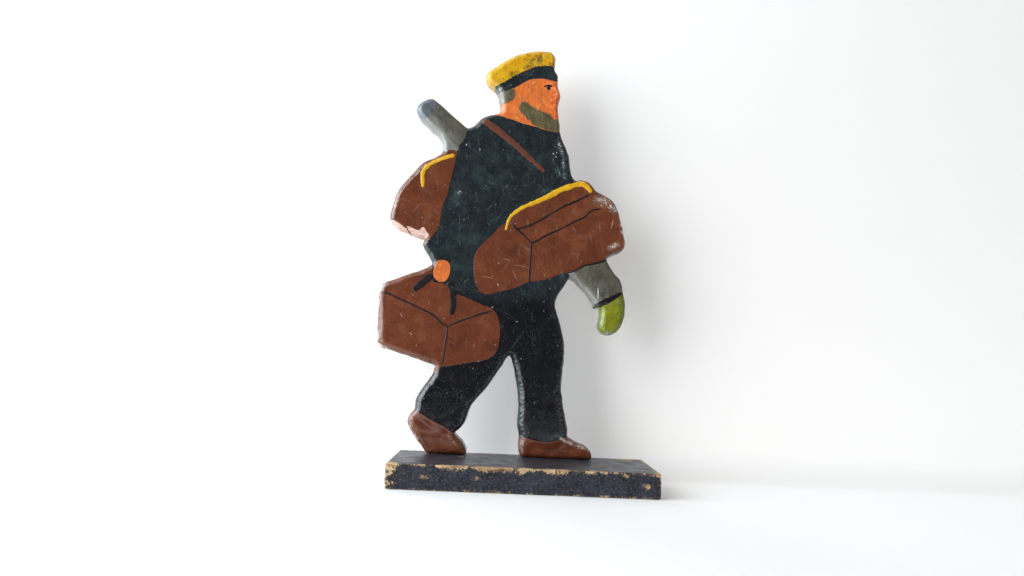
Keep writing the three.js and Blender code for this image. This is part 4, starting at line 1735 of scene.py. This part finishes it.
    def dress(self, piece: bpy.types.Object) -> None:
        """Dress the block in black enamel, grimy, and rubbed through to tan wood along its edges.

        Args:
            piece: The block.
        """
        wire = Paintwork("base_enamel")
        colour = wire.group(self.effects.tone, Color=self.black, Mottle=0.45, Streak=0.0)["Color"]
        lines = wire.group(self.effects.scratches, Share=0.5)["Mask"]
        colour = wire.tint(colour, lines, 0.22, (120, 120, 118))
        colour = wire.shade(colour, wire.noise(1.3, 4.0, 0.7), 0.46, 0.74, 0.5, (116, 112, 106))
        specks = wire.group(self.effects.specks, Scale=0.9, Share=0.3, Size=0.15)["Mask"]
        colour = wire.tint(colour, specks, 0.4, (136, 124, 108))
        rubbed = wire.group(self.effects.rubbed, Wear=wire.stored("wear"), Ragged=1.9)
        bare = rubbed["Mask"]
        dulled = wire.tint(colour, rubbed["Haze"], 0.5, (122, 108, 92))
        wood = wire.group(self.effects.wood, Pale=(216, 186, 144), Deep=(160, 122, 84))["Color"]
        wire.give("Base Color", wire.mix(bare, dulled, wood))
        wire.give("Roughness", wire.plus(wire.drifting(0.3, 3.0, 0.28, 0.42), wire.times(bare, 0.4)))
        wire.give("Specular IOR Level", self.shine)
        grain = wire.noise(1.4, 4.0, 0.6, wire.turned(0.0, (0.06, 1.0, 1.0)))
        wire.relief(wire.minus(wire.times(grain, 0.03), wire.times(bare, 0.08)))
        piece.data.materials.append(wire.material)


@dataclass(frozen=True)
class NailSteel:
    """Dull wire steel of the two nails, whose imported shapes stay.

    Attributes:
        effects: The shared effects.
        steel: Colour of the clean metal.
        rust: Colour of its rust.
    """

    effects: Effects
    steel: Colour = (142, 140, 136)
    rust: Colour = (104, 66, 44)

    def dress(self) -> None:
        """Build the material and give it to both nails."""
        wire = Paintwork("nail_steel")
        tone = wire.group(self.effects.tone, Color=self.steel, Mottle=0.15, Streak=0.2)["Color"]
        rust = wire.ramp(wire.noise(0.9, 4.0, 0.7), 0.56, 0.7, 0.0, 0.8)
        wire.give("Base Color", wire.mix(rust, tone, self.rust))
        wire.give("Metallic", wire.minus(1.0, rust))
        wire.give("Roughness", wire.ramp(rust, 0.0, 1.0, 0.38, 0.8))
        wire.relief(wire.times(wire.noise(2.0, 3.0), 0.04))
        for name in NAILS:
            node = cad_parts[name]
            node.data.materials.clear()
            node.data.materials.append(wire.material)
            LOG.info("%s: packed shape, steel finish", name)


@dataclass(frozen=True)
class Lamp:
    """A soft rectangular light that faces the middle of the figure.

    Attributes:
        name: Name of the light.
        place: Its place.
        size: Its width and height.
        power: Its power in watts.
        colour: Its linear colour.
        aim: Place that it faces.
    """

    name: str
    place: tuple[float, float, float]
    size: tuple[float, float]
    power: float
    colour: tuple[float, float, float]
    aim: tuple[float, float, float] = (0, 0, 75)

    def build(self) -> None:
        """Add the light to the scene."""
        data = bpy.data.lights.new(self.name, "AREA")
        data.shape, data.energy, data.color = "RECTANGLE", self.power, self.colour
        data.size, data.size_y = (length * MM for length in self.size)
        light = bpy.data.objects.new(self.name, data)
        light.location = Vector(self.place) * MM
        way = Vector(self.aim) * MM - light.location
        light.rotation_euler = way.to_track_quat("-Z", "Y").to_euler()
        bpy.context.scene.collection.objects.link(light)


LAMPS = (
    Lamp("window", (-730, -560, 330), (640, 900), 10.5, (0.96, 0.985, 1.0)),
    Lamp("side_strip", (-620, -90, 150), (160, 700), 4.4, (0.62, 0.82, 1.0)),
    Lamp("back_fill", (-420, 900, 560), (700, 700), 5.0, (1.0, 1.0, 1.0)),
)

# Linear colours of the room: its even light, its dimmer front, that front in gloss, and what the view shows
ROOM_LIGHT = (0.36, 0.36, 0.37, 1.0)
ROOM_FRONT = (0.22, 0.22, 0.22, 1.0)
FRONT_IN_GLOSS = (0.06, 0.06, 0.065, 1.0)
ROOM_IN_VIEW = (0.93, 0.925, 0.92, 1.0)
# Linear colours of the paper and of the light that lifts it for the view
PAPER = (0.80, 0.79, 0.775, 1.0)
PAPER_LIFT = (1.0, 0.985, 0.965, 1.0)


@dataclass(frozen=True)
class Studio:
    """Camera, light and stage.

    Attributes:
        eye: Place of the camera.
        turn: Turn of the camera as a vector: axis times angle in radians.
        focal: Focal length in pixels of an image 1024 wide.
        image_width: Width of that image.
        sensor: Width of the camera's sensor.
        near: Nearest distance that the camera shows, in metres.
        wall: How far behind the object the backdrop stands.
        cove: Radius of the curve by which the paper sweeps up from the floor.
        foot: Height of the floor.
        floor_lift: Paleness of the floor that only the view and reflections get.
        wall_lift: The same for the backdrop.
        reach: Half the width of the stage.
        front: Where the floor ends before the object, out of view, so that the paint does not mirror it.
    """

    eye: tuple[float, float, float] = (-8.6045, -269.726, 42.461)
    turn: tuple[float, float, float] = (-0.0850195, 0.04208773, 0.01219278)
    focal: float = 800.0
    image_width: float = 1024.0
    sensor: float = 36.0
    near: float = 0.01
    wall: float = 14.0
    cove: float = 12.0
    foot: float = -0.05
    floor_lift: float = 0.2
    wall_lift: float = 0.28
    reach: float = 1500.0
    front: float = -135.0

    def build(self) -> None:
        """Set up the view, the lamps, the world and the stage."""
        self.camera()
        for lamp in LAMPS:
            lamp.build()
        self.world()
        self.stage()
        bpy.context.scene.view_settings.view_transform = "Standard"

    def camera(self) -> None:
        """Put the camera at the photograph's place."""
        angle = Vector(self.turn).length
        right, forward, up = Matrix.Rotation(angle, 3, Vector(self.turn)).transposed().col
        data = bpy.data.cameras.new("view")
        data.sensor_width = self.sensor
        data.lens = self.focal * self.sensor / self.image_width
        data.clip_start = self.near
        camera = bpy.data.objects.new("view", data)
        pose = Matrix((right, up, -forward)).transposed().to_4x4()
        pose.translation = Vector(self.eye) * MM
        camera.matrix_world = pose
        bpy.context.scene.collection.objects.link(camera)
        bpy.context.scene.camera = camera

    def world(self) -> None:
        """Surround the object with a dim even light, dimmer in front, that shows as a pale background."""
        world = bpy.data.worlds.new("room")
        world.use_nodes = True
        bpy.context.scene.world = world
        wire = Wiring(world.node_tree)
        wire.place = wire.node("TexCoord", {}).outputs["Generated"]
        aside, ahead, _ = wire.axes()
        rays = wire.node("LightPath", {}).outputs
        front = wire.ramp(ahead, -0.35, -0.8)
        bright = wire.times(wire.minus(1.0, front), wire.ramp(aside, -0.2, 0.6, 1.0, 0.4))
        mirrored = wire.times(rays["Is Glossy Ray"], bright)
        seen = wire.most(rays["Is Camera Ray"], rays["Is Transmission Ray"], mirrored)
        light = wire.mix(front, ROOM_LIGHT, ROOM_FRONT)
        dimmed = wire.mix(wire.times(rays["Is Glossy Ray"], front), light, FRONT_IN_GLOSS)
        wire.feed(wire.tree.nodes["Background"].inputs["Color"], wire.mix(seen, dimmed, ROOM_IN_VIEW))

    def stage(self) -> None:
        """Lay a pale floor and sweep a backdrop up from it: a quarter circle, then a wall."""
        depth = float(CAD_BOX[1][1]) / MM + self.wall
        turn = np.radians(np.linspace(0, 90, CURVE_STEPS))
        curve = np.stack([depth - self.cove * (1 - np.sin(turn)), self.cove * (1 - np.cos(turn))], axis=1)
        floor = self.sheet("floor", np.array([(self.front, self.foot), (self.reach, self.foot)]))
        wall = self.sheet("backdrop", np.concatenate([curve, [(depth, self.reach)]]))
        self.paper(floor, "floor_paper", one_sided=False)
        self.paper(wall, "backdrop_paper", one_sided=True)

    def sheet(self, name: str, profile: Points) -> bpy.types.Object:
        """Carry a profile along x as one sheet of the stage.

        Args:
            name: Name of the sheet.
            profile: Rows of (y, z) from the front backwards, or upwards.

        Returns:
            The sheet, which faces the camera's side.
        """
        count = len(profile)
        rows = [np.column_stack([np.full(count, x), profile]) for x in (-self.reach, self.reach)]
        first = np.arange(count - 1)
        quads = np.stack([first, first + count, first + count + 1, first + 1], axis=1)
        sheet = new_mesh(name, np.concatenate(rows), quads.tolist())
        return sheet

    def paper(self, sheet: bpy.types.Object, name: str, one_sided: bool) -> None:
        """Dress a sheet in pale paper, a little paler for the view and reflections alone.

        Args:
            sheet: Sheet of the stage.
            name: Name of the material.
            one_sided: True if the sheet shows only its front and lets lamps pass.
        """
        wire = Paintwork(name)
        wire.give("Base Color", PAPER)
        wire.give("Roughness", 0.9)
        wire.give("Specular IOR Level", 0.0)
        wire.give("Emission Color", PAPER_LIFT)
        rays = wire.node("LightPath", {}).outputs
        seen = wire.most(rays["Is Camera Ray"], rays["Is Glossy Ray"], rays["Is Transmission Ray"])
        lift = wire.ramp(wire.axes()[2], 0.0, self.cove, self.floor_lift, self.wall_lift)
        wire.give("Emission Strength", wire.times(seen, lift))
        if one_sided:
            behind = wire.node("NewGeometry", {}).outputs["Backfacing"]
            hidden = wire.most(rays["Is Shadow Ray"], behind)
            clear = wire.node("BsdfTransparent", {}).outputs[0]
            both = wire.node("MixShader", {0: hidden, 1: wire.shader.outputs[0], 2: clear})
            wire.feed(wire.tree.nodes["Material Output"].inputs["Surface"], both.outputs[0])
        sheet.data.materials.append(wire.material)


def main() -> None:
    """Build and dress every piece, then the studio."""
    logging.basicConfig(level=logging.INFO, format="%(name)s %(message)s")
    effects = Effects()
    board = SawnBoard()
    BoardEnamel(effects).dress(board.build())
    BrushStrokes(board, effects).build()
    base = BaseBlock(effects)
    base.dress(base.build())
    NailSteel(effects).dress()
    Studio().build()


if __name__ == "__main__":
    main()
